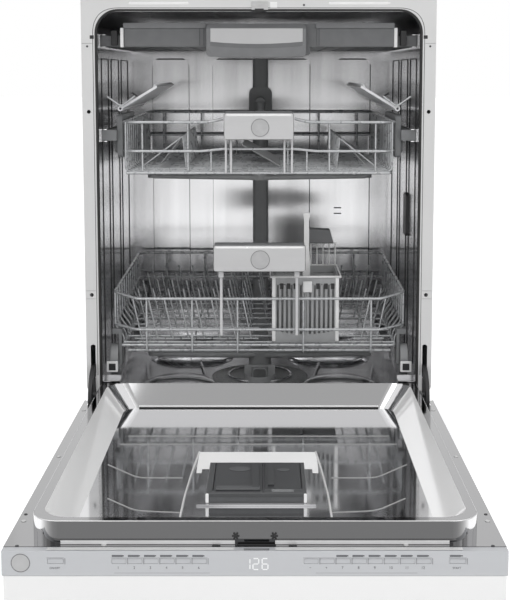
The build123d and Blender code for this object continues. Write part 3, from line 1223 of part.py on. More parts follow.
# ---------------------------------------------------------------- writing the pieces
def write(name, solids):
    """Move a node's solids to the model's origin and write them to one STEP file."""
    shift = Location((0, -ORIGIN_Y, 0))
    flat = []
    for shape in solids:
        flat += [solid.moved(shift) for solid in shape.solids()]
    whole = flat[0] if len(flat) == 1 else Compound(children=flat)
    whole.label = name
    export_step(whole, f"parts/{name}.step")


PIECES = [
    tub, front_frame, door_gasket, outer_panels, base_tray, levelling_feet, latch_striker,
    hinge_brackets, balance_springs, sump, filter_plate, circulation_pump, drain_pump,
    inlet_valve, water_duct, rack_rails,
    door_liner, door_shell, front_panel, control_fascia, control_board,
    dispenser_housing, door_latch, hinge_arms, liner_screws,
    detergent_lid, rinse_aid_lid,
    cutlery_tray, tray_handle, upper_rack, upper_runners, upper_handle, upper_feed_pipe,
    upper_spray_arm, cup_shelf_left, cup_shelf_right,
    lower_rack, lower_handle, wheel_carriers, front_wheels, rear_wheels, cutlery_basket,
    lower_spray_arm, filter_cup,
]

os.makedirs("parts", exist_ok=True)
for piece in PIECES:
    write(piece.__name__, piece())
for key_name, key_x, key_width in key_places():
    write(key_name, [key_cap(key_x, key_width)])
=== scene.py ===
"""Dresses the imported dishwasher: materials, wires, handles, controls, light and camera."""
import math

import bmesh
import bpy
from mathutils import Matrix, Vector


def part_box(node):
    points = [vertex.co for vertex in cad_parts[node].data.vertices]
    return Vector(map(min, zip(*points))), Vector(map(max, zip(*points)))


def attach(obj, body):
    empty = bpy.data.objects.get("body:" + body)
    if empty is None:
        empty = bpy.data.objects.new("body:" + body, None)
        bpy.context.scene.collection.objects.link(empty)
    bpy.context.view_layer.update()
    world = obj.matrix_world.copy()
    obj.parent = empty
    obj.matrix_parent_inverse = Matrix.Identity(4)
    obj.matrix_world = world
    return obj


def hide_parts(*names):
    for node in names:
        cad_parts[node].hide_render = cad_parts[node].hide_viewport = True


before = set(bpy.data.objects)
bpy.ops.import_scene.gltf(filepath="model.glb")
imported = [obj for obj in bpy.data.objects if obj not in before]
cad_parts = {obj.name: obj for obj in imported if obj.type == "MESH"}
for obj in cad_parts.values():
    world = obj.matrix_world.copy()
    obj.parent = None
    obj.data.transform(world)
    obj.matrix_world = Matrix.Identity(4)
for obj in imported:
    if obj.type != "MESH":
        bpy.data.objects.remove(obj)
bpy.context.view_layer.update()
MM = 0.001
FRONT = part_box("front_frame")[0].y      # the cabinet's front plane


def at(x, y, z):
    """A place in metres: x from the middle, y behind the cabinet's front plane, z over the floor, in mm."""
    return Vector((x * MM, y * MM + FRONT, z * MM))


def behind_front(y):
    """A frame y in metres, as mm behind the cabinet's front plane."""
    return (y - FRONT) / MM


# ---------------------------------------------------------------- shader nodes
def calculated(tree, operation, first, second=None):
    """The output of a Math node whose inputs are numbers or other nodes' outputs."""
    node = tree.nodes.new("ShaderNodeMath")
    node.operation = operation
    for socket, value in zip(node.inputs, (first, second)):
        if isinstance(value, (int, float)):
            socket.default_value = value
        elif value is not None:
            tree.links.new(value, socket)
    return node.outputs["Value"]


def ramped(tree, factor, stops):
    """Colours over factor, from (position, colour) stops in rising order."""
    node = tree.nodes.new("ShaderNodeValToRGB")
    elements = node.color_ramp.elements
    for element, (position, colour) in zip(elements, (stops[0], stops[-1])):
        element.position = position
        element.color = (*colour, 1)
    for position, colour in stops[1:-1]:
        elements.new(position).color = (*colour, 1)
    tree.links.new(factor, node.inputs["Fac"])
    return node.outputs["Color"]


def mapped(tree, value, start, end, from_start=0.0, from_end=1.0):
    """Value, from its own range to the range from start to end."""
    node = tree.nodes.new("ShaderNodeMapRange")
    node.inputs["From Min"].default_value = from_start
    node.inputs["From Max"].default_value = from_end
    node.inputs["To Min"].default_value = start
    node.inputs["To Max"].default_value = end
    tree.links.new(value, node.inputs["Value"])
    return node.outputs["Result"]


def blended(tree, factor, first, second):
    """A mix of two colours, each given as a colour or as a node's output."""
    node = tree.nodes.new("ShaderNodeMix")
    node.data_type = "RGBA"
    tree.links.new(factor, node.inputs["Factor"])
    for socket, value in (("A", first), ("B", second)):
        if isinstance(value, tuple):
            node.inputs[socket].default_value = (*value, 1)
        else:
            tree.links.new(value, node.inputs[socket])
    return node.outputs["Result"]


def cloudy(tree, where, scale, detail):
    """Noise over the given coordinates."""
    node = tree.nodes.new("ShaderNodeTexNoise")
    node.inputs["Scale"].default_value = scale
    node.inputs["Detail"].default_value = detail
    tree.links.new(where, node.inputs["Vector"])
    return node.outputs["Fac"]


def stretched(tree, where, scale):
    """Coordinates that are scaled along each axis."""
    node = tree.nodes.new("ShaderNodeMapping")
    node.inputs["Scale"].default_value = scale
    tree.links.new(where, node.inputs["Vector"])
    return node.outputs["Vector"]


def split(tree, vector):
    """The X, Y and Z outputs of a vector."""
    node = tree.nodes.new("ShaderNodeSeparateXYZ")
    tree.links.new(vector, node.inputs["Vector"])
    return node.outputs


# ---------------------------------------------------------------- materials
RELIEF_DEPTH = 0.0005           # of the fine relief, in metres
COLLAR_TOP = 0.1258             # upper side of the steel collar round the dispenser, in metres
FLANGE_LEVEL = 0.131            # just under the door flange, in metres
HOLLOW_HALF = 0.2585            # half the width of the door pan's mouth, in metres
FLAT = 0.97                     # a face whose normal's height is over this one lies level
CORNER = 0.25                   # a face that turns this much both ways belongs to a corner
# Painted light on the door pan: sloping faces painted white as a painted reflection, with little metal, and
# the flange's level top painted grey.
SLOPE_METAL = 0.1
SLOPE_PAINTED_WHITE = (0.96, 0.96, 0.96)
FLANGE_PAINTED_GREY = (0.38, 0.38, 0.385)
COLLAR_STEEL = (0.74, 0.74, 0.75)
COLLAR_ROUGH = 0.08
NONE, FULL = (0, 0, 0), (1, 1, 1)


def surface(name, colour, rough, metal=0.0, vary=0.06, grain=60.0, stretch=(1, 1, 1), bump=0.02,
            bump_scale=900.0, **sockets):
    """A Principled material whose colour, roughness and relief vary by noise in the row frame."""
    material = bpy.data.materials.new(name)
    material.use_nodes = True
    tree = material.node_tree
    shader = tree.nodes["Principled BSDF"]
    shader.inputs["Metallic"].default_value = metal
    for socket, value in sockets.items():
        shader.inputs[socket.replace("_", " ").title()].default_value = value
    where = stretched(tree, tree.nodes.new("ShaderNodeTexCoord").outputs["Object"], stretch)
    noise = cloudy(tree, where, grain, 4.0)
    darker = [c * (1 - vary) for c in colour]
    lighter = [min(1, c * (1 + vary)) for c in colour]
    tree.links.new(ramped(tree, noise, ((0.3, darker), (0.7, lighter))), shader.inputs["Base Color"])
    tree.links.new(mapped(tree, noise, rough * 0.8, min(1.0, rough * 1.2)), shader.inputs["Roughness"])
    if bump:
        relief = tree.nodes.new("ShaderNodeBump")
        relief.inputs["Strength"].default_value = bump
        relief.inputs["Distance"].default_value = RELIEF_DEPTH
        tree.links.new(cloudy(tree, where, bump_scale, 2.0), relief.inputs["Height"])
        tree.links.new(relief.outputs["Normal"], shader.inputs["Normal"])
    return material


def brushed(name, colour, rough, smear, **more):
    """Steel whose reflections are drawn out up and down the walls."""
    material = surface(name, colour, rough, metal=1.0, **more)
    tree = material.node_tree
    shader = tree.nodes["Principled BSDF"]
    shader.inputs["Anisotropic"].default_value = smear
    tangent = tree.nodes.new("ShaderNodeTangent")
    tangent.direction_type = "RADIAL"
    tangent.axis = "Z"
    tree.links.new(tangent.outputs["Tangent"], shader.inputs["Tangent"])
    return material


def pressed(name, colour, rough):
    """Polished sheet: a mirror floor with painted light by the way each face turns: slopes painted white as
    a painted reflection, the flange's level top painted grey as a dull painted reflection and upright front
    faces painted darker as painted shade.
    """
    material = surface(name, colour, rough, 1.0, vary=0.03, grain=8, bump=0.0)
    tree = material.node_tree
    shader = tree.nodes["Principled BSDF"]
    place = tree.nodes.new("ShaderNodeTexCoord")
    facing = split(tree, place.outputs["Normal"])
    spot = split(tree, place.outputs["Object"])
    # Painted shade: the more a face turns to the front, the darker its colour.
    forward = calculated(tree, "MULTIPLY", facing["Y"], -1.0)
    painted_shades = ramped(tree, forward, ((0.12, (0.74, 0.74, 0.75)), (0.8, (0.72, 0.72, 0.73)),
                                    (0.93, (0.29, 0.29, 0.292)), (1.0, (0.12, 0.12, 0.122))))
    high = calculated(tree, "GREATER_THAN", spot["Z"], FLANGE_LEVEL)
    level = calculated(tree, "GREATER_THAN", facing["Z"], FLAT)
    painted_tint = blended(tree, calculated(tree, "MULTIPLY", high, level), painted_shades, FLANGE_PAINTED_GREY)
    sideways = calculated(tree, "ABSOLUTE", facing["X"])
    inclined = calculated(tree, "MAXIMUM", sideways, forward)
    off_middle = calculated(tree, "ABSOLUTE", spot["X"])
    inside = calculated(tree, "LESS_THAN", off_middle, HOLLOW_HALF)
    turned = calculated(tree, "MINIMUM", sideways, forward)
    straight = calculated(tree, "LESS_THAN", turned, CORNER)
    # Painted reflection: faces sloping inside the pan's mouth are painted white.
    sides = calculated(tree, "MULTIPLY", calculated(tree, "MULTIPLY", inclined, inside), straight)
    slopes = ramped(tree, sides, ((0.10, NONE), (0.16, FULL), (0.82, FULL), (0.88, NONE)))
    tree.links.new(blended(tree, slopes, painted_tint, SLOPE_PAINTED_WHITE), shader.inputs["Base Color"])
    tree.links.new(mapped(tree, slopes, 1.0, SLOPE_METAL), shader.inputs["Metallic"])
    return material


def collared(name, colour, rough, collar_top):
    """Dark plastic over a bright steel collar: what lies under collar_top, in metres, is steel."""
    material = surface(name, colour, rough, vary=0.05, grain=10, bump=0.0)
    tree = material.node_tree
    shader = tree.nodes["Principled BSDF"]
    spot = split(tree, tree.nodes.new("ShaderNodeTexCoord").outputs["Object"])
    under = calculated(tree, "LESS_THAN", spot["Z"], collar_top)
    tree.links.new(blended(tree, under, colour, COLLAR_STEEL), shader.inputs["Base Color"])
    tree.links.new(under, shader.inputs["Metallic"])
    tree.links.new(mapped(tree, under, rough, COLLAR_ROUGH), shader.inputs["Roughness"])
    return material


# Its upright colour streaks are partly brushed grain and partly painted reflections.
TUB_STEEL = brushed("tub_steel", (0.69, 0.69, 0.70), 0.16, 0.8, vary=0.11, grain=9, stretch=(3, 3.5, 0.12),
                    bump=0.0)
# The door liner's colour carries painted shade, a painted reflection on its slopes and a painted grey on its
# flange.
LINER_PAINTED_STEEL = pressed("liner_steel", (0.78, 0.78, 0.79), 0.07)
# Its strong dark and bright patches are painted reflections.
BASIN_STEEL = surface("basin_steel", (0.78, 0.78, 0.79), 0.08, 1.0, vary=0.2, grain=12, bump=0.0)
FRAME_GREY = surface("frame_grey", (0.66, 0.66, 0.66), 0.45, 0.0, vary=0.03, grain=6)
CASING = surface("casing_steel", (0.42, 0.43, 0.44), 0.5, 0.6, vary=0.05, grain=20, bump=0.05)
RUBBER = surface("seal_rubber", (0.012, 0.012, 0.012), 0.6, vary=0.2, bump=0.1)
BLACK = surface("black_plastic", (0.016, 0.016, 0.017), 0.45, vary=0.2, bump=0.05)
BASE_BLACK = surface("base_plastic", (0.05, 0.05, 0.052), 0.55, vary=0.15, bump=0.08)
ZINC = surface("plated_steel", (0.62, 0.62, 0.62), 0.3, 1.0, vary=0.06, grain=40)
CHROME = surface("bright_steel", (0.85, 0.85, 0.86), 0.14, 1.0, vary=0.04, grain=30, bump=0.0)
TRAY_GREY = surface("tray_grey", (0.135, 0.138, 0.142), 0.5, vary=0.06, bump=0.04)
TRAY_LIP = surface("tray_lip", (0.17, 0.173, 0.178), 0.45, vary=0.06, bump=0.04)
DUCT_GREY = surface("duct_grey", (0.27, 0.275, 0.28), 0.5, vary=0.06, bump=0.04)
RUNNER_GREY = surface("runner_grey", (0.20, 0.205, 0.21), 0.45, vary=0.08, bump=0.05)
PALE_PLASTIC = surface("pale_plastic", (0.62, 0.62, 0.63), 0.4, vary=0.04, bump=0.03)
WHITE_PLASTIC = surface("white_plastic", (0.82, 0.82, 0.82), 0.35, vary=0.03, bump=0.02)
HANDLE_FACE = surface("handle_face", (0.56, 0.56, 0.565), 0.38, 0.25, vary=0.03, grain=20,
                      stretch=(0.3, 1, 3))
WIRE = surface("rack_wire", (0.46, 0.47, 0.48), 0.28, 0.45, vary=0.06, grain=80, coat_weight=0.3)
ARM_GREY = surface("arm_grey", (0.30, 0.305, 0.31), 0.42, vary=0.06, bump=0.04)
SHELF = surface("shelf_silver", (0.74, 0.745, 0.76), 0.3, 0.1, vary=0.05, bump=0.03)
BASKET = surface("basket_grey", (0.35, 0.355, 0.36), 0.42, vary=0.05, bump=0.03)
WHEEL = surface("wheel_grey", (0.30, 0.305, 0.31), 0.5, vary=0.08, bump=0.05)
STRIP = surface("strip_silver", (0.53, 0.54, 0.56), 0.42, 0.15, vary=0.02, grain=14, stretch=(0.2, 1, 4))
KEY = surface("key_silver", (0.50, 0.51, 0.53), 0.4, 0.15, vary=0.03, grain=40)
INK = surface("label_ink", (0.05, 0.05, 0.055), 0.5, vary=0.1)
GLOW = surface("indicator", (0.93, 0.94, 0.95), 0.35, vary=0.02)
LACQUER = surface("panel_white", (0.90, 0.90, 0.90), 0.35, vary=0.012, grain=3, bump=0.01, bump_scale=200,
                  coat_weight=0.2)
DISPENSER = collared("dispenser_grey", (0.075, 0.077, 0.08), 0.35, COLLAR_TOP)
LID = surface("lid_grey", (0.055, 0.057, 0.06), 0.3, vary=0.05, grain=10, bump=0.0)
# Painted highlights: pale strips along rounded edges, on the handles' bevels, the tub's mouth, the pocket
# and the door's front.
PAINTED_HIGHLIGHT = surface("painted_highlight_edge", (0.88, 0.88, 0.88), 0.25, 0.3, vary=0.03, grain=30, bump=0.0)
# Painted reflection and painted highlights: plain white, not metal, on the pocket's slope, the dispenser's
# corners and the pan crease's edge.
PAINTED_REFLECTION_WHITE = surface("painted_reflection_white", (0.97, 0.97, 0.97), 0.2, 0.0, vary=0.02, grain=8, bump=0.0)
# Painted shade in grooves, folds and gaps.
GROOVE_SHADE = surface("painted_groove_shade", (0.02, 0.02, 0.021), 0.5, vary=0.15, bump=0.0)
FLAP = surface("flap_grey", (0.42, 0.425, 0.43), 0.4, 0.1, vary=0.08, grain=30)
PLATE_GREY = surface("plate_grey", (0.48, 0.48, 0.485), 0.42, vary=0.03, grain=20)
DISC = surface("bare_disc", (0.47, 0.47, 0.475), 0.4, 0.2, vary=0.05, grain=90)
DISC_RIM = surface("disc_rim", (0.22, 0.22, 0.225), 0.4, 0.3, vary=0.08)
LETTER = surface("letter_grey", (0.10, 0.10, 0.11), 0.5, vary=0.1, bump=0.0)
MARK_GREY = surface("mark_grey", (0.13, 0.135, 0.145), 0.45, vary=0.08, bump=0.0)
SHADE_GREY = surface("shade_grey", (0.30, 0.305, 0.32), 0.5, vary=0.06, bump=0.0)
# Dark joint lines, and painted reflections on the door pan.
SEAM_AND_REFLECTION_GREY = surface("seam_and_reflection_grey", (0.36, 0.36, 0.36), 0.5, vary=0.06, bump=0.0)
# Painted sheen: a lighter copy of the lid plastic on the lids' band and ovals and on the dispenser's front.
LID_SHEEN = surface("lid_painted_sheen", (0.10, 0.103, 0.107), 0.3, vary=0.08, bump=0.02)
WINDOW = surface("window_grey", (0.20, 0.205, 0.21), 0.12, vary=0.1, bump=0.0)

PAINT = {
    "tub": TUB_STEEL, "front_frame": FRAME_GREY, "door_gasket": RUBBER, "outer_panels": CASING,
    "base_tray": BASE_BLACK, "levelling_feet": BLACK, "latch_striker": ZINC, "hinge_brackets": ZINC,
    "balance_springs": ZINC, "sump": BASE_BLACK, "filter_plate": ARM_GREY, "circulation_pump": CASING,
    "drain_pump": CASING, "inlet_valve": PALE_PLASTIC, "water_duct": DUCT_GREY, "rack_rails": CHROME,
    "door_liner": LINER_PAINTED_STEEL, "door_shell": CASING, "front_panel": LACQUER, "control_fascia": STRIP,
    "control_board": BLACK, "dispenser_housing": DISPENSER, "door_latch": BLACK, "hinge_arms": BLACK,
    "liner_screws": ZINC, "detergent_lid": LID, "rinse_aid_lid": LID, "cutlery_tray": TRAY_GREY,
    "tray_handle": TRAY_LIP, "upper_rack": WIRE, "upper_runners": RUNNER_GREY, "upper_handle": HANDLE_FACE,
    "upper_feed_pipe": DUCT_GREY, "upper_spray_arm": ARM_GREY, "cup_shelf_left": SHELF,
    "cup_shelf_right": SHELF, "lower_rack": WIRE, "lower_handle": HANDLE_FACE, "wheel_carriers": RUNNER_GREY,
    "front_wheels": WHEEL, "rear_wheels": WHEEL, "cutlery_basket": BASKET, "lower_spray_arm": ARM_GREY,
    "filter_cup": ARM_GREY,
}
for name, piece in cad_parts.items():
    finish = PAINT.get(name, KEY)
    for material_slot in piece.material_slots:
        material_slot.material = finish


# ---------------------------------------------------------------- making pieces
BEVEL_STEPS = 2
BOX_FACES = ((0, 1, 3, 2), (4, 6, 7, 5), (0, 4, 5, 1), (2, 3, 7, 6), (0, 2, 6, 4), (1, 5, 7, 3))


def settled(piece, material, body):
    """Puts a new piece in the scene, in its material, on the body it moves with."""
    bpy.context.collection.objects.link(piece)
    piece.data.materials.append(material)
    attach(piece, body)
    return piece


def from_bmesh(name, mesh, material, body, bevel=0.0):
    """Turns a bmesh into a piece, with its sharp edges rounded by bevel, in mm."""
    bmesh.ops.recalc_face_normals(mesh, faces=mesh.faces)
    data = bpy.data.meshes.new(name)
    mesh.to_mesh(data)
    mesh.free()
    piece = settled(bpy.data.objects.new(name, data), material, body)
    if bevel:
        rounding = piece.modifiers.new("rounding", "BEVEL")
        rounding.width = bevel * MM
        rounding.segments = BEVEL_STEPS
        rounding.limit_method = "ANGLE"
    return piece


def boxes(name, spans, material, body, bevel=0.4):
    """Blocks with eased edges, each given by its x, y and z limits."""
    mesh = bmesh.new()
    for xs, ys, zs in spans:
        corners = [mesh.verts.new(at(x, y, z)) for x in xs for y in ys for z in zs]
        for face in BOX_FACES:
            mesh.faces.new([corners[i] for i in face])
    return from_bmesh(name, mesh, material, body, bevel)


def prism(name, outline, along, start, end, material, body, bevel=0.4):
    """A plate: an outline in the other two axes, drawn out along the third."""
    mesh = bmesh.new()
    rings = []
    for place in (start, end):
        ring = []
        for a, b in outline:
            spot = {"x": (place, a, b), "y": (a, place, b), "z": (a, b, place)}[along]
            ring.append(mesh.verts.new(at(*spot)))
        rings.append(ring)
    count = len(outline)
    for i in range(count):
        j = (i + 1) % count
        mesh.faces.new((rings[0][i], rings[0][j], rings[1][j], rings[1][i]))
    mesh.faces.new(rings[0])
    mesh.faces.new(list(reversed(rings[1])))
    return from_bmesh(name, mesh, material, body, bevel)


def circle(a, b, radius, count=40):
    """Points evenly round a centre."""
    return [(a + radius * math.cos(math.tau * i / count), b + radius * math.sin(math.tau * i / count))
            for i in range(count)]


def round_box(low, high, radius, steps=6):
    """The outline of a rectangle with rounded corners."""
    (x0, z0), (x1, z1) = low, high
    points = []
    for cx, cz, start in ((x1 - radius, z1 - radius, 0), (x0 + radius, z1 - radius, 1),
                          (x0 + radius, z0 + radius, 2), (x1 - radius, z0 + radius, 3)):
        for i in range(steps + 1):
            turn = (start + i / steps) * math.pi / 2
            points.append((cx + radius * math.cos(turn), cz + radius * math.sin(turn)))
    return points


def bent(points, radius, steps=5):
    """The same path with its inner corners rounded."""
    path = [Vector(points[0])]
    for before, corner, after in zip(points, points[1:], points[2:]):
        corner = Vector(corner)
        back = Vector(before) - corner
        on = Vector(after) - corner
        start = corner + back.normalized() * min(radius, back.length / 2)
        end = corner + on.normalized() * min(radius, on.length / 2)
        for i in range(steps + 1):
            t = i / steps
            path.append(start * (1 - t) ** 2 + corner * 2 * t * (1 - t) + end * t ** 2)
    path.append(Vector(points[-1]))
    return path


def wires(name, paths, radius, material, body, closed=False):
    """Round bars along these paths."""
    curve = bpy.data.curves.new(name, "CURVE")
    curve.dimensions = "3D"
    curve.bevel_depth = radius * MM
    curve.bevel_resolution = 2
    curve.use_fill_caps = True
    for path in paths:
        spline = curve.splines.new("POLY")
        spline.points.add(len(path) - 1)
        for point, place in zip(spline.points, path):
            point.co = (*at(*place), 1)
        spline.use_cyclic_u = closed
    return settled(bpy.data.objects.new(name, curve), material, body)


def ring(name, centre, radius, thick, along, material, body):
    """A thin round rim in the plane across one axis."""
    x, y, z = centre
    if along == "y":
        path = [(a, y, b) for a, b in circle(x, z, radius)]
    else:
        path = [(a, b, z) for a, b in circle(x, y, radius)]
    return wires(name, [path], thick, material, body, closed=True)


def label(name, words, x, y, z, size, material, body="door"):
    """Plain lettering that stands on a front face."""
    text = bpy.data.curves.new(name, "FONT")
    text.body = words
    text.size = size * MM
    text.extrude = 0.05 * MM
    text.align_x = "CENTER"
    piece = bpy.data.objects.new(name, text)
    piece.location = at(x, y, z)
    piece.rotation_euler = (math.pi / 2, 0, 0)
    return settled(piece, material, body)


def mirrored(points):
    """The same path on the other side of the middle."""
    return [(-x, *rest) for x, *rest in points]


def both(paths):
    """Each path and its mirror image."""
    return paths + [mirrored(path) for path in paths]


def spread(start, end, count):
    """Evenly spaced places from start to end, both included."""
    return [start + (end - start) * i / (count - 1) for i in range(count)]


def one_side(side, near, far):
    """The x range from near to far on one side of the middle."""
    return tuple(sorted((side * near, side * far)))


def around(middle, half):
    """The range of this half width about a middle."""
    return (middle - half, middle + half)


# ---------------------------------------------------------------- upper rack
RACK_FRONT = 34
RACK_REAR = 472
SHELF_HINGE_X = 240
SHELF_HINGE_Z = 630
SHELF_TILT = math.radians(31)
SHELF_ARM_GAP = 374             # from the front wire arm of a cup shelf to the rear one


def upper_rack():
    """The upper basket: bent rails, posts, a wire floor and the slanting glass rests in it."""
    half = 235
    top, mid, low = 607, 557, 519
    lift = [(-half, RACK_FRONT + 16, top), (-half + 16, RACK_FRONT, top), (-86, RACK_FRONT, top),
            (-62, RACK_FRONT, top + 6)]
    rear = [(half, RACK_FRONT + 16, top), (half, RACK_REAR - 16, top + 3), (half - 16, RACK_REAR, top + 3)]
    rear += reversed(mirrored(rear))
    paths = [bent(lift, 12), bent(mirrored(lift), 12), bent(rear, 12)]
    waist = [(-half, RACK_REAR, mid + 6), (-half, RACK_FRONT + 14, mid), (-half + 14, RACK_FRONT, mid),
             (-98, RACK_FRONT, mid), (-62, RACK_FRONT, mid + 4)]
    waist += reversed(mirrored(waist))
    paths.append(bent(waist, 10))
    paths.append([(-half, RACK_REAR, mid + 6), (half, RACK_REAR, mid + 6)])
    base = [(-half + 6, RACK_FRONT + 2, low), (half - 6, RACK_FRONT + 2, low),
            (half - 6, RACK_REAR - 2, low), (-half + 6, RACK_REAR - 2, low)]
    paths.append(bent(base + base[:1], 6))
    wires("upper_rack_rails", paths, 2.5, WIRE, "upper_rack")
    posts = []
    for x in (-202, -123, -50, 50, 122, 202):
        posts.append(bent([(x, RACK_FRONT + 4, top), (x, RACK_FRONT + 4, low - 2),
                           (x, RACK_REAR - 4, low - 2), (x, RACK_REAR - 4, top + 3)], 8))
    for x in (-83, 83):
        posts.append(bent([(x, RACK_FRONT + 4, mid), (x, RACK_FRONT + 4, low - 2),
                           (x, RACK_REAR - 4, low - 2)], 8))
    for x in (-165, -28, 0, 28, 165):
        posts.append([(x, RACK_FRONT + 4, low - 2), (x, RACK_REAR - 4, low - 2)])
    for y in spread(RACK_FRONT + 6, RACK_REAR - 6, 15):
        posts.append(bent([(-half + 4, y, top), (-half + 4, y, low + 2), (half - 4, y, low + 2),
                           (half - 4, y, top)], 10))
    grid = wires("upper_rack_wires", posts, 1.8, WIRE, "upper_rack")
    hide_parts("upper_rack")
    rests = []
    for y in spread(70, 430, 13):
        rests.append(bent([(-212, y, low + 4), (-134, y, low + 62), (-128, y, low + 6)], 4))
        rests.append(bent([(212, y, low + 4), (142, y, low + 58), (136, y, low + 6)], 4))
    wires("glass_rests", rests, 1.5, WIRE, "upper_rack")
    plates = (((-178, low + 8), (-136, low + 60)), ((-30, low + 44), (38, low + 6)),
              ((146, low + 58), (188, low + 10)))
    for number, ((x0, z0), (x1, z1)) in enumerate(plates):
        prism(f"glass_flap_{number + 1}", [(x0, z0), (x1, z1), (x1, z1 + 2), (x0, z0 + 2)], "y", 96, 300,
              FLAP, "upper_rack", 0.5)


def cup_shelf_details():
    """Teeth along both long edges of each cup shelf, and the wire arm that holds it."""
    for side, body in ((-1, "cup_shelf_left"), (1, "cup_shelf_right")):
        teeth = []
        for y in spread(56, 408, 12):
            for reach in (14, 66):
                x = side * (SHELF_HINGE_X - reach * math.cos(SHELF_TILT))
                z = SHELF_HINGE_Z + reach * math.sin(SHELF_TILT)
                teeth.append([(x, y, z + 1), (x - side * 3, y, z + 8)])
        wires(f"{body}_teeth", teeth, 1.8, SHELF, body)
        arm = bent([(side * 262, 40, 651), (side * 238, 40, 634), (side * 214, 40, 652)], 6)
        back = [(x, y + SHELF_ARM_GAP, z) for x, y, z in arm]
        wires(f"{body}_arms", [arm, back], 1.8, WIRE, "upper_rack")


# ---------------------------------------------------------------- lower rack
LOWER_RAILS = ((298, 7, 313), (243, 4, 262))   # front height, rise to the sides, rear height
LOWER_FLOOR = 214
KINK_Y = 62                     # where the front corners meet the sides
TINE_ROWS = (70, 160, 250, 340, 430)
TINE_LEAN = 16
TINE_TOP = 293
BASKET_SIDES = (23, 141)
BASKET_REAR = 178
GRIP_X = 85.5


def lower_rack():
    """The lower basket: wide bent rails, kinked side wires and rows of leaning tines."""
    half, front_half, floor_half = 257, 214, 240
    rails = []
    for z, rise, rear_z in LOWER_RAILS:
        sweep = [(front_half, RACK_FRONT, z), (half, KINK_Y, z + rise), (half, RACK_REAR - 14, rear_z),
                 (half - 14, RACK_REAR, rear_z)]
        sweep += reversed(mirrored(sweep))
        rails.append(bent([(-front_half, RACK_FRONT, z)] + sweep + [(-200, RACK_FRONT, z)], 10))
    frame_ys = (RACK_FRONT + 6, RACK_REAR - 6)
    floor_frame = [(-floor_half, frame_ys[0], LOWER_FLOOR), (floor_half, frame_ys[0], LOWER_FLOOR),
                   (floor_half, frame_ys[1], LOWER_FLOOR), (-floor_half, frame_ys[1], LOWER_FLOOR)]
    rails.append(bent(floor_frame + floor_frame[:1], 10))
    foot_z = LOWER_FLOOR - 10
    rails.append([(-floor_half + 8, RACK_FRONT + 10, foot_z), (floor_half - 8, RACK_FRONT + 10, foot_z)])
    wires("lower_rack_rails", rails, 2.5, WIRE, "lower_rack")
    bars = []
    for x in (-198, -118, -38, 78, 197):
        bars.append(bent([(x, RACK_FRONT + 4, 300), (x, RACK_FRONT + 4, 200), (x, RACK_FRONT + 12, 203),
                          (x, RACK_FRONT + 20, 211), (x, RACK_REAR - 4, 211), (x, RACK_REAR - 4, 313)], 8))
    for y in [KINK_Y] + spread(94, 440, 11):
        kink = [(half - 1, y, 304), (half - 1, y, 246), (floor_half + 1, y, 225), (floor_half + 1, y, 206)]
        bars += both([bent(kink, 6)])
    for y in spread(RACK_FRONT + 20, RACK_REAR - 14, 9):
        bars.append([(-floor_half, y, LOWER_FLOOR + 2), (floor_half, y, LOWER_FLOOR + 2)])
    grid = wires("lower_rack_wires", bars, 1.9, WIRE, "lower_rack")
    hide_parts("lower_rack")
    tines = []
    for y in TINE_ROWS:
        for x in spread(-210, 210, 16):
            in_basket = BASKET_SIDES[0] - TINE_LEAN < x < BASKET_SIDES[1] + TINE_LEAN
            if in_basket and y < BASKET_REAR + TINE_LEAN:
                continue
            lean = -TINE_LEAN if x < 60 else TINE_LEAN
            tines.append([(x, y, LOWER_FLOOR + 4), (x + lean, y, TINE_TOP)])
            tines.append([(x - 13, y, LOWER_FLOOR + 5), (x + 13, y, LOWER_FLOOR + 5)])
    wires("lower_rack_tines", tines, 1.6, WIRE, "lower_rack")


# ---------------------------------------------------------------- handles
def grip(name, body, z0, z1, disc_radius):
    """A handle: pale face with a painted highlight on its upper bevel, dark rear edge, ends and a bare round
    plate.
    """
    low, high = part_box(name)
    x0, x1 = low.x / MM, high.x / MM
    disc_x, disc_z = 2.2, (z0 + z1) / 2 - 2
    front = behind_front(low.y)
    outline = round_box((x0, z0), (x1, z1), 3.5)
    face = prism(f"{name}_face", outline, "y", front - 0.2, front + 3.4, HANDLE_FACE, body, 1.0)
    # Painted highlight along the upper bevel.
    bevel = ((x0 + 3, x1 - 3), (front - 0.6, front + 2), (z1 - 5.2, z1 - 1.2))
    boxes(f"{name}_bevel", [bevel], PAINTED_HIGHLIGHT, body, 1.2)
    back = ((x0 + 1, x1 - 1), (front + 3.4, front + 19), (z1 - 3, z1 + 3.5))
    boxes(f"{name}_back", [back], TRAY_GREY, body, 1.5)
    caps = ((x0 - 0.8, x0 + 0.6), (x1 - 0.6, x1 + 0.8))
    ends = [(xs, (front + 1, front + 16), (z0 + 2, z1 - 2)) for xs in caps]
    boxes(f"{name}_ends", ends, TRAY_GREY, body, 0.4)
    prism(f"{name}_foot", round_box((x0 + 2, z0 - 0.4), (x1 - 2, z0 + 3), 1.2), "y", front, front + 6,
          RUNNER_GREY, body, 0.4)
    prism(f"{name}_plate", circle(disc_x, disc_z, disc_radius), "y", front - 0.5, front, DISC, body, 0.2)
    ring(f"{name}_plate_rim", (disc_x, front - 0.5, disc_z), disc_radius, 0.5, "y", DISC_RIM, body)
    return face


def handles():
    """The faces of both rack handles and the legs that carry them."""
    grip("upper_handle", "upper_rack", 578, 623, 15.0)
    legs = [(around(x, 1.8), (26, 31), (519, 580)) for x in (-57, -48, 44, 57)]
    boxes("upper_handle_legs", legs, PALE_PLASTIC, "upper_rack", 1.0)
    face = grip("lower_handle", "lower_rack", 350, 395, 16.0)
    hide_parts("lower_handle")
    legs = []
    for x in (-66, 66):
        legs.append((around(x, 4.5), (20, 31), (338, 352)))
        legs.append((around(x, 2.4), (26, 31), (234, 340)))
    boxes("lower_handle_legs", legs, PALE_PLASTIC, "lower_rack", 1.0)


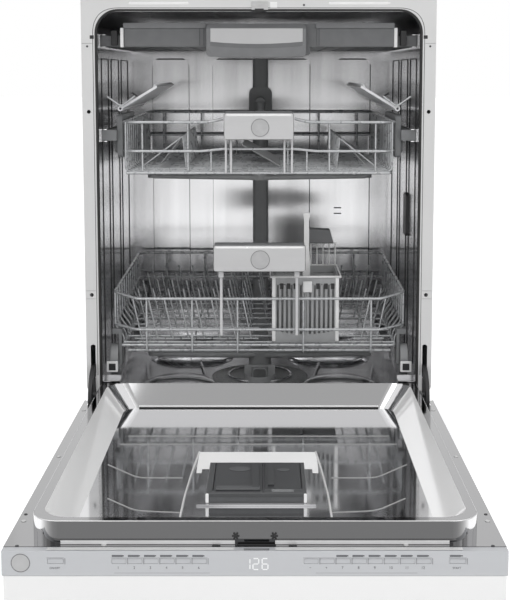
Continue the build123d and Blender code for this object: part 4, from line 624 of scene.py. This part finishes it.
def cutlery_tray_details():
    """The tray handle's pale plate with a painted shadow under it and shaped foot, the lips, end brackets
    and runners' ends.
    """
    front = behind_front(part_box("tray_handle")[0].y)
    shape = [(-87, 740), (-86, 729), (-78, 721), (-66, 717.5), (58, 717.5), (70, 721), (78, 729), (79, 740)]
    prism("tray_handle_foot", shape, "y", front - 0.4, front + 9, TRAY_LIP, "cutlery_tray", 1.2)
    curve = [(-82, 744), (-60, 742), (-30, 740.5), (-4, 740), (22, 740.5), (52, 742), (74.5, 744)]
    prism("tray_handle_plate", curve + [(74.5, 766.5), (-82, 766.5)], "y", front - 1.0, front + 2,
          PLATE_GREY, "cutlery_tray", 0.8)
    # Painted shadow under the handle's plate.
    shadow = [(x, z - 7) for x, z in curve] + [(74.5, 743), (-82, 743)]
    prism("tray_handle_shadow", shadow, "y", front - 0.7, front + 1, TRAY_GREY, "cutlery_tray", 0.6)
    lips, walls, ends, clips = [], [], [], []
    for x0, x1 in ((-232, -90), (97, 232)):
        lips.append(((x0, x1), (30.5, 36), (767, 776.5)))
        walls.append(((x0 + 2, x1), (32.5, 35), (736, 767)))
    boxes("tray_lips", lips, TRAY_LIP, "cutlery_tray", 1.2)
    boxes("tray_walls", walls, TRAY_GREY, "cutlery_tray", 0.8)
    seams = [(around(x, 0.5), (32.2, 33), (738, 776)) for x in (-101, -94, 103)]
    boxes("tray_seams", seams, INK, "cutlery_tray", 0.0)
    for side in (-1, 1):
        ends.append((one_side(side, 231.5, 237), (31, 44), (735, 768)))
        clips.append((one_side(side, 243, 254), (40, 62), (738, 764)))
    boxes("tray_end_brackets", ends, WHITE_PLASTIC, "cutlery_tray", 0.8)
    boxes("tray_end_clips", clips, BLACK, "cutlery_tray", 1.5)


# ---------------------------------------------------------------- cutlery basket
BASKET_FRONT = 52
BASKET_WALL = 2.4
SLOTS = 13
SLOT_HALF = 1.9
SLOT_MARGIN = 10                # from a wall's end to the middle of its first slot


def slotted_wall(start, end):
    """The bars between a slotted wall's openings, as ranges along it."""
    edges = [start]
    for slot in spread(start + SLOT_MARGIN, end - SLOT_MARGIN, SLOTS):
        edges += around(slot, SLOT_HALF)
    edges.append(end)
    return list(zip(edges[::2], edges[1::2]))


def cutlery_basket():
    """The basket: slotted walls over an arched foot, partitions, rim, corner posts, grip and fence."""
    x0, x1 = BASKET_SIDES
    y0, y1 = BASKET_FRONT, BASKET_REAR
    wall = BASKET_WALL
    foot, band, top = 216.4, 238, 333
    spans = [((x0, x1), (y0, y1), (foot, foot + wall))]
    for y in (y0, y1 - wall):
        spans.append(((x0, x1), (y, y + wall), (top - 14, top)))
        spans += [(bar, (y, y + wall), (foot + 10, top - 12)) for bar in slotted_wall(x0, x1)]
    for x in (x0, x1 - wall):
        spans.append(((x, x + wall), (y0, y1), (top - 14, top)))
        spans.append(((x, x + wall), (y0, y1), (foot, band - 2)))
        spans += [((x, x + wall), bar, (band - 3, top - 12)) for bar in slotted_wall(y0, y1)]
    middle = (x0 + x1) / 2
    spans.append((around(middle, wall / 2), (y0, y1), (foot, top - 8)))
    for y in (94, 136):
        spans.append(((x0, x1), (y, y + wall), (foot, top - 8)))
    cage = boxes("basket_cage", spans, BASKET, "cutlery_basket", 0.3)
    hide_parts("cutlery_basket")
    arch = [(x, band - 7 * (1 - ((x - middle) / (middle - x0)) ** 2)) for x in spread(x1, x0, 15)]
    prism("basket_foot", [(x0, foot), (x1, foot)] + arch, "y", y0 - 0.3, y0 + wall, BASKET,
          "cutlery_basket", 0.3)
    rim = [[(x0 - 3, 50, 334), (x1 + 3, 50, 334), (x1 + 3, 180, 334), (x0 - 3, 180, 334)]]
    wires("basket_rim", rim, 2.0, WHITE_PLASTIC, "cutlery_basket", closed=True)
    posts = [(around(x, 3.2), (50.4, 55), (218, 333)) for x in (x0 + 3, x1 - 3)]
    boxes("basket_corners", posts, WHITE_PLASTIC, "cutlery_basket", 1.4)
    grip_halves = ((7.2, 318), (6.4, 352), (4.8, 380), (4.6, 425), (6.8, 440))
    grip_shape = [(GRIP_X + half, z) for half, z in grip_halves]
    grip_shape += [(GRIP_X - half, z) for half, z in reversed(grip_halves)]
    grip_y = (y0 + y1) / 2
    prism("basket_grip", grip_shape, "y", grip_y - 2, grip_y + 2, WHITE_PLASTIC, "cutlery_basket", 1.0)
    marks = [(around(x, 3), (50.6, 53), (312, 322)) for x in (40, 52, 64, 104, 118, 130)]
    boxes("basket_marks", marks, BLACK, "cutlery_basket", 0.5)
    clip = (around(GRIP_X, 8), (49.4, 53), (306, 326))
    boxes("basket_clip", [clip], WHITE_PLASTIC, "cutlery_basket", 1.5)
    bars = [[(x, 178, 335), (x, 178, 378)] for x in spread(96, 141, 5)]
    bars.append([(96, 178, 376), (141, 178, 376)])
    wires("basket_fence_wires", bars, 1.4, WHITE_PLASTIC, "cutlery_basket")
    prism("basket_fence_cap", [(90, 379), (137, 379), (130, 404), (86, 406)], "y", 150, 177, TRAY_GREY,
          "cutlery_basket", 2.0)


# ---------------------------------------------------------------- tub
TUB_HALF = 274
TUB_BACK = behind_front(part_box("tub")[1].y) - 1.9      # the back wall's face
TUB_SIDE_SPANS = ((60, 150), (190, 300), (340, 450))
DOMES = (((-150, 150), (74, 92), 13), ((150, 150), (74, 92), 13), ((-140, 380), (84, 76), 12),
         ((140, 380), (84, 76), 12))      # middle, half width and depth, height
DOME_FOOT = 109
DOME_LEVELS = 6
DOME_SIDES = 36


def tub_details():
    """Painted shade along the groove outlines of the pressed walls, a painted highlight along the lip at the
    mouth with painted shade in the line round it, the vent and wall fittings.
    """
    grooves, folds = [], []
    for x0, x1 in ((-229, -150), (-102, 105), (154, 232)):
        corners = ((x0, 150), (x0, 720), (x1, 720), (x1, 150))
        grooves.append(bent([(x, TUB_BACK - 0.6, z) for x, z in corners], 8))
    for y0, y1 in TUB_SIDE_SPANS:
        for x in (-TUB_HALF + 0.6, TUB_HALF - 0.6):
            folds.append(bent([(x, y0, 176), (x, y0, 716), (x, y1, 716), (x, y1, 176)], 8))
    # Painted shade along the grooves and folds.
    wires("tub_groove_shade", grooves, 1.4, GROOVE_SHADE, "cabinet")
    wires("tub_fold_shade", folds, 0.8, GROOVE_SHADE, "cabinet")
    # Painted highlight along the lip at the mouth.
    lip = bent([(-275, 4, 170), (-275, 4, 796), (-12, 4, 796)], 40, 12)
    wires("mouth_lip_highlight", both([lip]), 2.0, PAINTED_HIGHLIGHT, "cabinet")
    # Painted shade in the line round the mouth.
    line = bent([(-279.5, 0.9, 170), (-279.5, 0.9, 800), (279.5, 0.9, 800), (279.5, 0.9, 170)], 44, 12)
    wires("mouth_line_shade", [line], 1.1, GROOVE_SHADE, "cabinet")
    clips = [(around(side * 281, 4), (-0.2, 2), (748, 755)) for side in (-1, 1)]
    boxes("corner_clips", clips, BLACK, "cabinet", 1.0)
    vent = round_box((150, 392), (196, 470), 8)
    prism("vent_cover", vent, "x", TUB_HALF - 5, TUB_HALF, BLACK, "cabinet", 1.5)
    marks = [((156, 172), (TUB_BACK - 1.5, TUB_BACK), (z, z + 2)) for z in (392, 404)]
    boxes("wall_marks", marks, BLACK, "cabinet", 0.3)
    edges = [(around(x, 1.5), (486, 494), (596, 650)) for x in (-19, 23)]
    boxes("dock_edges", edges, CHROME, "cabinet", 0.8)


def basin_details():
    """Low pressed forms in the tub floor: four domes, ribs round the filter and the side slopes."""
    mesh = bmesh.new()
    for middle, (wide, deep), height in DOMES:
        rings = []
        for level in range(DOME_LEVELS):
            climb = level / DOME_LEVELS * math.pi / 2
            z = DOME_FOOT + height * math.sin(climb)
            rings.append([mesh.verts.new(at(middle[0] + wide * math.cos(climb) * x,
                                            middle[1] + deep * math.cos(climb) * y, z))
                          for x, y in circle(0, 0, 1, DOME_SIDES)])
        for lower, upper in zip(rings, rings[1:]):
            for i in range(DOME_SIDES):
                j = (i + 1) % DOME_SIDES
                mesh.faces.new((lower[i], lower[j], upper[j], upper[i]))
        mesh.faces.new(rings[-1])
    domes = from_bmesh("basin_domes", mesh, BASIN_STEEL, "cabinet")
    for face in domes.data.polygons:
        face.use_smooth = True
    ribs = []
    for side in (-1, 1):
        ribs.append(bent([(side * 60, 30, 111), (side * 110, 70, 112), (side * 100, 200, 112),
                          (side * 120, 330, 112)], 40))
        ribs.append(bent([(side * 228, 40, 112), (side * 205, 150, 112), (side * 225, 300, 112)], 40))
        ribs.append(bent([(side * 30, 40, 111), (side * 150, 30, 112), (side * 215, 60, 112)], 30))
    wires("basin_ribs", ribs, 3.0, BASIN_STEEL, "cabinet")
    ring("filter_rim", (0, 235, 112), 60, 2.2, "z", CHROME, "cabinet")
    loop = bent([(-13, 198, 116), (-13, 198, 132), (13, 198, 132), (13, 198, 116)], 8)
    wires("filter_loop", [loop], 2.2, ARM_GREY, "filter_cup")


def frame_details():
    """The top bar's slots and lower edge, latch bracket, joint lines and screws, and the wheel guards."""
    boxes("top_slots", [((-217, -119), (-0.4, 1), (806.5, 809.5)), ((119, 221), (-0.4, 1), (806.5, 809.5))],
          WHITE_PLASTIC, "cabinet", 0.4)
    boxes("latch_bracket", [((-12, 16), (-0.3, 1), (797, 812))], ZINC, "cabinet", 0.6)
    boxes("latch_mouth", [((-7, 9), (-0.4, 2), (794, 799.5))], BLACK, "cabinet", 0.8)
    boxes("latch_tab", [((19, 31), (-0.5, 1), (800, 810))], WHITE_PLASTIC, "cabinet", 0.8)
    boxes("top_edge", [((-226, -14), (1.5, 6), (794.2, 798.2)), ((14, 226), (1.5, 6), (794.2, 798.2))],
          WHITE_PLASTIC, "cabinet", 0.6)
    spots = [(76, 804.8), (-289, 736), (-289, 311), (289, 736), (289, 311)]
    for number, (x, z) in enumerate(spots):
        prism(f"frame_dot_{number + 1}", circle(x, z, 1.8, 16), "y", -0.5, 1, INK, "cabinet", 0.0)
    joints = []
    for side in (-1, 1):
        for zs in ((740.5, 741.4), (304, 304.7), (318, 318.7)):
            joints.append((one_side(side, 281, 298), (-0.3, 1), zs))
    boxes("frame_joints", joints, SEAM_AND_REFLECTION_GREY, "cabinet", 0.0)
    blocks = [(one_side(side, 249, 269), (33, 37), (166.5, 186)) for side in (-1, 1)]
    eyes = [(one_side(side, 253, 265), (32, 35), (170, 182)) for side in (-1, 1)]
    boxes("wheel_guards", blocks, WHITE_PLASTIC, "lower_rack", 1.5)
    boxes("wheel_guard_eyes", eyes, BLACK, "lower_rack", 0.8)


# ---------------------------------------------------------------- door and its controls
STRIP_FACE = -676.0
PAN_FLOOR = 123.0
PLATE_X, PLATE_Z, PLATE_RADIUS = -276.4, 117.9, 10.9
LARGE_LETTER, SMALL_LETTER = 4.6, 3.4
SEGMENTS = {"1": "bc", "2": "abged", "6": "acdefg"}


def on_strip(stands):
    """The y range of a mark that stands this far out of the strip's face."""
    return (STRIP_FACE - stands, STRIP_FACE + 0.5)


def digit_bars(sign, x, z, wide, high, thick):
    """The lit bars of one seven-segment digit whose lower left corner is at x and z."""
    middle = z + high / 2
    flat = {"a": z + high, "g": middle, "d": z}
    upright = {"f": (x, middle), "b": (x + wide, middle), "e": (x, z), "c": (x + wide, z)}
    spans = []
    for bar in SEGMENTS[sign]:
        if bar in flat:
            spans.append(((x + 0.6, x + wide - 0.6), on_strip(0.25), around(flat[bar], thick / 2)))
        else:
            beside, foot = upright[bar]
            spans.append((around(beside, thick / 2), on_strip(0.25), (foot + 0.6, foot + high / 2 - 0.6)))
    return spans


def control_strip():
    """Digits, marks over the keys, painted shadows beside them, plain labels and a bare round plate on the
    strip.
    """
    boxes("display_glass", [((-12.5, 20), on_strip(0.12), (107, 126.5))], STRIP, "door", 0.0)
    bars = []
    for sign, x in zip("126", (-12.6, -2.2, 8.6)):
        bars += digit_bars(sign, x, 110, 6.8, 13.4, 1.5)
    boxes("display_digits", bars, GLOW, "door", 0.1)
    numbered = [f"program_key_{i}" for i in range(1, 7)] + [f"option_key_{i}" for i in range(3, 9)]
    marks, painted_shades = [], []
    for node in numbered + ["start_key"]:
        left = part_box(node)[0].x / MM
        marks.append(((left + 1, left + 13.8), on_strip(0.2), (125.3, 127.8)))
    lettering = {"power_key": "ON/OFF", "option_key_1": "\u2212", "option_key_2": "+", "start_key": "START"}
    for number, node in enumerate(numbered):
        lettering[node] = str(number + 1)
    for node, words in lettering.items():
        low, high = (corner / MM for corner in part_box(node))
        size = LARGE_LETTER if len(words) < 4 else SMALL_LETTER
        label(f"{node}_label", words, (low.x + high.x) / 2 - 1, STRIP_FACE - 0.1, 110.6, size, LETTER)
        # Painted shadows: thin grey strips at each key's right side and along its top.
        painted_shades.append(((high.x + 0.2, high.x + 1.3), on_strip(0.15), (low.z, high.z)))
        painted_shades.append(((low.x, high.x), on_strip(0.15), (high.z + 0.1, high.z + 0.7)))
    boxes("key_marks", marks, MARK_GREY, "door", 0.2)
    boxes("key_shades", painted_shades, SHADE_GREY, "door", 0.0)
    rules = [(xs, on_strip(0.1), (105.4, 105.8)) for xs in ((-166, -53), (72, 192))]
    boxes("strip_rules", rules, SHADE_GREY, "door", 0.0)
    plate = circle(PLATE_X, PLATE_Z, PLATE_RADIUS)
    prism("strip_plate", plate, "y", *on_strip(0.25), DISC, "door", 0.1)
    ring("strip_plate_rim", (PLATE_X, STRIP_FACE - 0.25, PLATE_Z), PLATE_RADIUS, 0.45, "y", DISC_RIM, "door")


COLLAR_FRONT = 4                # how far the collar stands out of the dispenser's box
COLLAR_REAR = 12


def oval(x, y, half_wide, half_deep):
    """Points of an ellipse with one flat side."""
    return [(x + half_wide * math.cos(a), y + half_deep * math.sin(a)) for a in spread(0, 6.1, 32)]


def dispenser_details():
    """The pocket's rear slope painted white as a painted reflection, painted highlights along its edges and
    at the dispenser's corners, the marks on both lids and on the dispenser, with painted sheen on the lids'
    band and ovals and on the dispenser's front.
    """
    # Painted reflection: the pocket's rear slope in plain white.
    pocket = [(-376, PAN_FLOOR + 0.6), (-296, PAN_FLOOR + 0.6), (-296, PAN_FLOOR + 6)]
    prism("pocket_slope", pocket, "x", -87, 88, PAINTED_REFLECTION_WHITE, "door", 0.5)
    # Painted highlights along the pocket's edges.
    edge = bent([(-87, -296, PAN_FLOOR + 6), (-93, -376, PAN_FLOOR + 2), (-97, -470, PAN_FLOOR + 1.4),
                 (-98, -600, PAN_FLOOR + 1.2)], 20)
    wires("pocket_edge_highlights", both([edge]), 1.4, PAINTED_HIGHLIGHT, "door")
    low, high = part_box("dispenser_housing")
    front = behind_front(low.y) + COLLAR_FRONT
    rear = behind_front(high.y) - COLLAR_REAR
    # Painted sheen on the lid's band and ovals and on the dispenser's front.
    boxes("lid_band", [((-54, 5), (front + 8, front + 22), (140.1, 142.4))], LID_SHEEN, "detergent_lid", 1.2)
    boxes("lid_gap", [((-54, 5), (front + 3.5, front + 7.5), (139.4, 140.3))], INK, "door", 0.2)
    prism("lid_oval", oval(-24, rear - 30, 15, 10), "z", 140.1, 140.5, LID_SHEEN, "detergent_lid", 0.2)
    prism("rinse_oval", oval(37, rear - 34, 9, 6), "z", 140.1, 140.5, LID_SHEEN, "rinse_aid_lid", 0.2)
    boxes("rinse_window", [((20, 50), (front + 3, front + 12), (139.6, 141))], WINDOW, "door", 0.8)
    boxes("lid_seam", [((8.4, 10.6), (front + 2, rear - 4), (139.8, 140.5))], INK, "door", 0.2)
    boxes("dispenser_front", [((-62, 62), (front - 0.8, front), (128, 134))], LID_SHEEN, "door", 0.4)
    # Painted highlights on the dispenser's corners.
    corners = [(around(side * 65, 2.2), (front - 0.8, front + 3), (126, 139)) for side in (-1, 1)]
    boxes("dispenser_corner_highlights", corners, PAINTED_REFLECTION_WHITE, "door", 1.2)


def pan_lines_and_painted_reflections():
    """Thin pressed lines straight across the pan's floor, curved painted reflections of the rack rails, and
    painted shade in the crease at its rear slope with a painted highlight on its edge.
    """
    z = PAN_FLOOR + 0.3
    ribs = [[(-205, -200, z), (206, -200, z)], [(-212, -241, z), (214, -241, z)]]
    # The curved lines are painted reflections of the rack rails.
    ribs += both([bent([(-218, -337, z), (-168, -394, z), (-105, -394, z)], 14),
                  bent([(-200, -476, z), (-158, -521, z), (-98, -528, z)], 14)])
    wires("pan_lines_and_painted_reflections", ribs, 0.7, SEAM_AND_REFLECTION_GREY, "door")
    # Painted shade in the crease, painted highlight on its edge.
    crease = (-204, 204)
    boxes("pan_crease_shade", [(crease, (-44, -41.5), (PAN_FLOOR + 0.2, PAN_FLOOR + 1.8))], GROOVE_SHADE, "door", 0.3)
    edge = (crease, (-42, -40), (PAN_FLOOR + 2, PAN_FLOOR + 4.5))
    boxes("pan_crease_highlight", [edge], PAINTED_REFLECTION_WHITE, "door", 0.3)


STAR_Y, STAR_Z = -656.9, 143.5


def door_details():
    """Screws on the flange, painted highlights along the front edges and star screws by the latch, and the
    hinges' tongues.
    """
    spots = [(-293, -560), (293, -560), (-283, -662), (283, -662), (-235, -655), (235, -655)]
    for number, (x, y) in enumerate(spots):
        prism(f"flange_dot_{number + 1}", circle(x, y, 2.2, 16), "z", 133, 133.6, INK, "door", 0.0)
    stars = []
    for x in (-23, 23):
        for tip_x, tip_z in circle(x, STAR_Z, 4.5, 6):
            stars.append([(x, STAR_Y, STAR_Z), (tip_x, STAR_Y, tip_z)])
    wires("latch_screws", stars, 1.3, BLACK, "door")
    slots = [(around(x, 5), (-664, -661), (133, 134)) for x in (-46, 45)]
    boxes("flange_slots", slots, BLACK, "door", 0.5)
    # Painted highlights along the door's front edges.
    highlight_strips = [((-232, -24), (-657.9, -657), (133.4, 138)), ((24, 232), (-657.9, -657), (133.4, 138)),
             ((-246, -24), (-674, -667), (133, 133.4)), ((24, 246), (-674, -667), (133, 133.4))]
    boxes("front_edge_highlights", highlight_strips, PAINTED_HIGHLIGHT, "door", 0.15)
    levers = [(around(side * 287, 3.5), (-3, 4), (137, 166)) for side in (-1, 1)]
    boxes("hinge_tongues", levers, BLACK, "cabinet", 1.5)


# ---------------------------------------------------------------- light and camera
LIT = 0.75                      # the even light on what is not a mirror
BAND_GREY = (0.08, 0.08, 0.08)
ZENITH_GREY = (0.42, 0.42, 0.42)
FLOOR_SHOWN = 0.5               # how much the floor shines for the camera and in mirrors
CAMERA = at(15.1, -2028.6, 693.5)
PITCH = math.radians(6.32)
FOCAL = 71.65
SHIFT_X, SHIFT_Y = -0.0211, -0.16


def world_light():
    """White for the camera and glass, white with grey bands in mirrors, plain soft light elsewhere."""
    world = bpy.data.worlds.new("studio")
    bpy.context.scene.world = world
    world.use_nodes = True
    tree = world.node_tree
    seen = tree.nodes["Background"]
    seen.inputs["Color"].default_value = (1, 1, 1, 1)
    lit = tree.nodes.new("ShaderNodeBackground")
    lit.inputs["Color"].default_value = (LIT, LIT, LIT, 1)
    mirrored_light = tree.nodes.new("ShaderNodeBackground")
    even = tree.nodes.new("ShaderNodeVectorMath")
    even.operation = "ABSOLUTE"
    tree.links.new(tree.nodes.new("ShaderNodeTexCoord").outputs["Generated"], even.inputs[0])
    noise = cloudy(tree, stretched(tree, even.outputs["Vector"], (9.0, 0.3, 1.2)), 1.6, 3.0)
    bands = ramped(tree, noise, ((0.42, BAND_GREY), (0.54, FULL)))
    height = split(tree, even.outputs["Vector"])["Z"]
    zenith = ramped(tree, height, ((0.93, FULL), (0.975, ZENITH_GREY)))
    above = mapped(tree, height, 0.0, 1.0, 0.25, 0.45)
    tree.links.new(blended(tree, above, bands, zenith), mirrored_light.inputs["Color"])
    path = tree.nodes.new("ShaderNodeLightPath")
    gloss = tree.nodes.new("ShaderNodeMixShader")
    tree.links.new(path.outputs["Is Glossy Ray"], gloss.inputs["Fac"])
    tree.links.new(lit.outputs["Background"], gloss.inputs[1])
    tree.links.new(mirrored_light.outputs["Background"], gloss.inputs[2])
    clear = calculated(tree, "MAXIMUM", path.outputs["Is Camera Ray"], path.outputs["Is Transmission Ray"])
    mixed = tree.nodes.new("ShaderNodeMixShader")
    tree.links.new(clear, mixed.inputs["Fac"])
    tree.links.new(gloss.outputs["Shader"], mixed.inputs[1])
    tree.links.new(seen.outputs["Background"], mixed.inputs[2])
    tree.links.new(mixed.outputs["Shader"], tree.nodes["World Output"].inputs["Surface"])


def lamp(name, place, aim, size, power):
    """A soft rectangular lamp, with its places in metres."""
    light = bpy.data.lights.new(name, "AREA")
    light.shape = "RECTANGLE"
    light.size, light.size_y = size
    light.energy = power
    holder = bpy.data.objects.new(name, light)
    bpy.context.collection.objects.link(holder)
    holder.location = place
    holder.rotation_euler = (Vector(aim) - Vector(place)).to_track_quat("-Z", "Y").to_euler()


def floor():
    """A pale floor that shows white to the camera away from the object's shadow."""
    bpy.ops.mesh.primitive_plane_add(size=60)
    plane = bpy.context.object
    plane.name = "floor"
    material = bpy.data.materials.new("floor_white")
    material.use_nodes = True
    tree = material.node_tree
    shader = tree.nodes["Principled BSDF"]
    shader.inputs["Base Color"].default_value = (0.9, 0.9, 0.9, 1)
    shader.inputs["Roughness"].default_value = 0.9
    shader.inputs["Emission Color"].default_value = (1, 1, 1, 1)
    path = tree.nodes.new("ShaderNodeLightPath").outputs
    shown = calculated(tree, "MAXIMUM", path["Is Camera Ray"], path["Is Glossy Ray"])
    through = calculated(tree, "MAXIMUM", shown, path["Is Transmission Ray"])
    strength = calculated(tree, "MULTIPLY", through, FLOOR_SHOWN)
    tree.links.new(strength, shader.inputs["Emission Strength"])
    plane.data.materials.append(material)


def camera():
    """The camera that gives the photographed view."""
    lens = bpy.data.cameras.new("camera")
    lens.lens = FOCAL
    lens.shift_x, lens.shift_y = SHIFT_X, SHIFT_Y
    holder = bpy.data.objects.new("camera", lens)
    bpy.context.collection.objects.link(holder)
    holder.location = CAMERA
    holder.rotation_euler = (math.pi / 2 - PITCH, 0, 0)
    bpy.context.scene.camera = holder


upper_rack()
cup_shelf_details()
lower_rack()
handles()
cutlery_tray_details()
cutlery_basket()
tub_details()
basin_details()
frame_details()
control_strip()
dispenser_details()
pan_lines_and_painted_reflections()
door_details()
world_light()
BODY_MIDDLE = (0, 0.2, 0.4)
lamp("key", (-1.2, -2.4, 2.6), BODY_MIDDLE, (1.6, 1.2), 14)
lamp("fill", (1.6, -2.6, 1.4), BODY_MIDDLE, (1.4, 1.4), 8)
lamp("top", (0, -0.6, 2.6), (0, 0, 0), (1.6, 1.6), 8)
floor()
camera()
bpy.context.scene.view_settings.view_transform = "Standard"
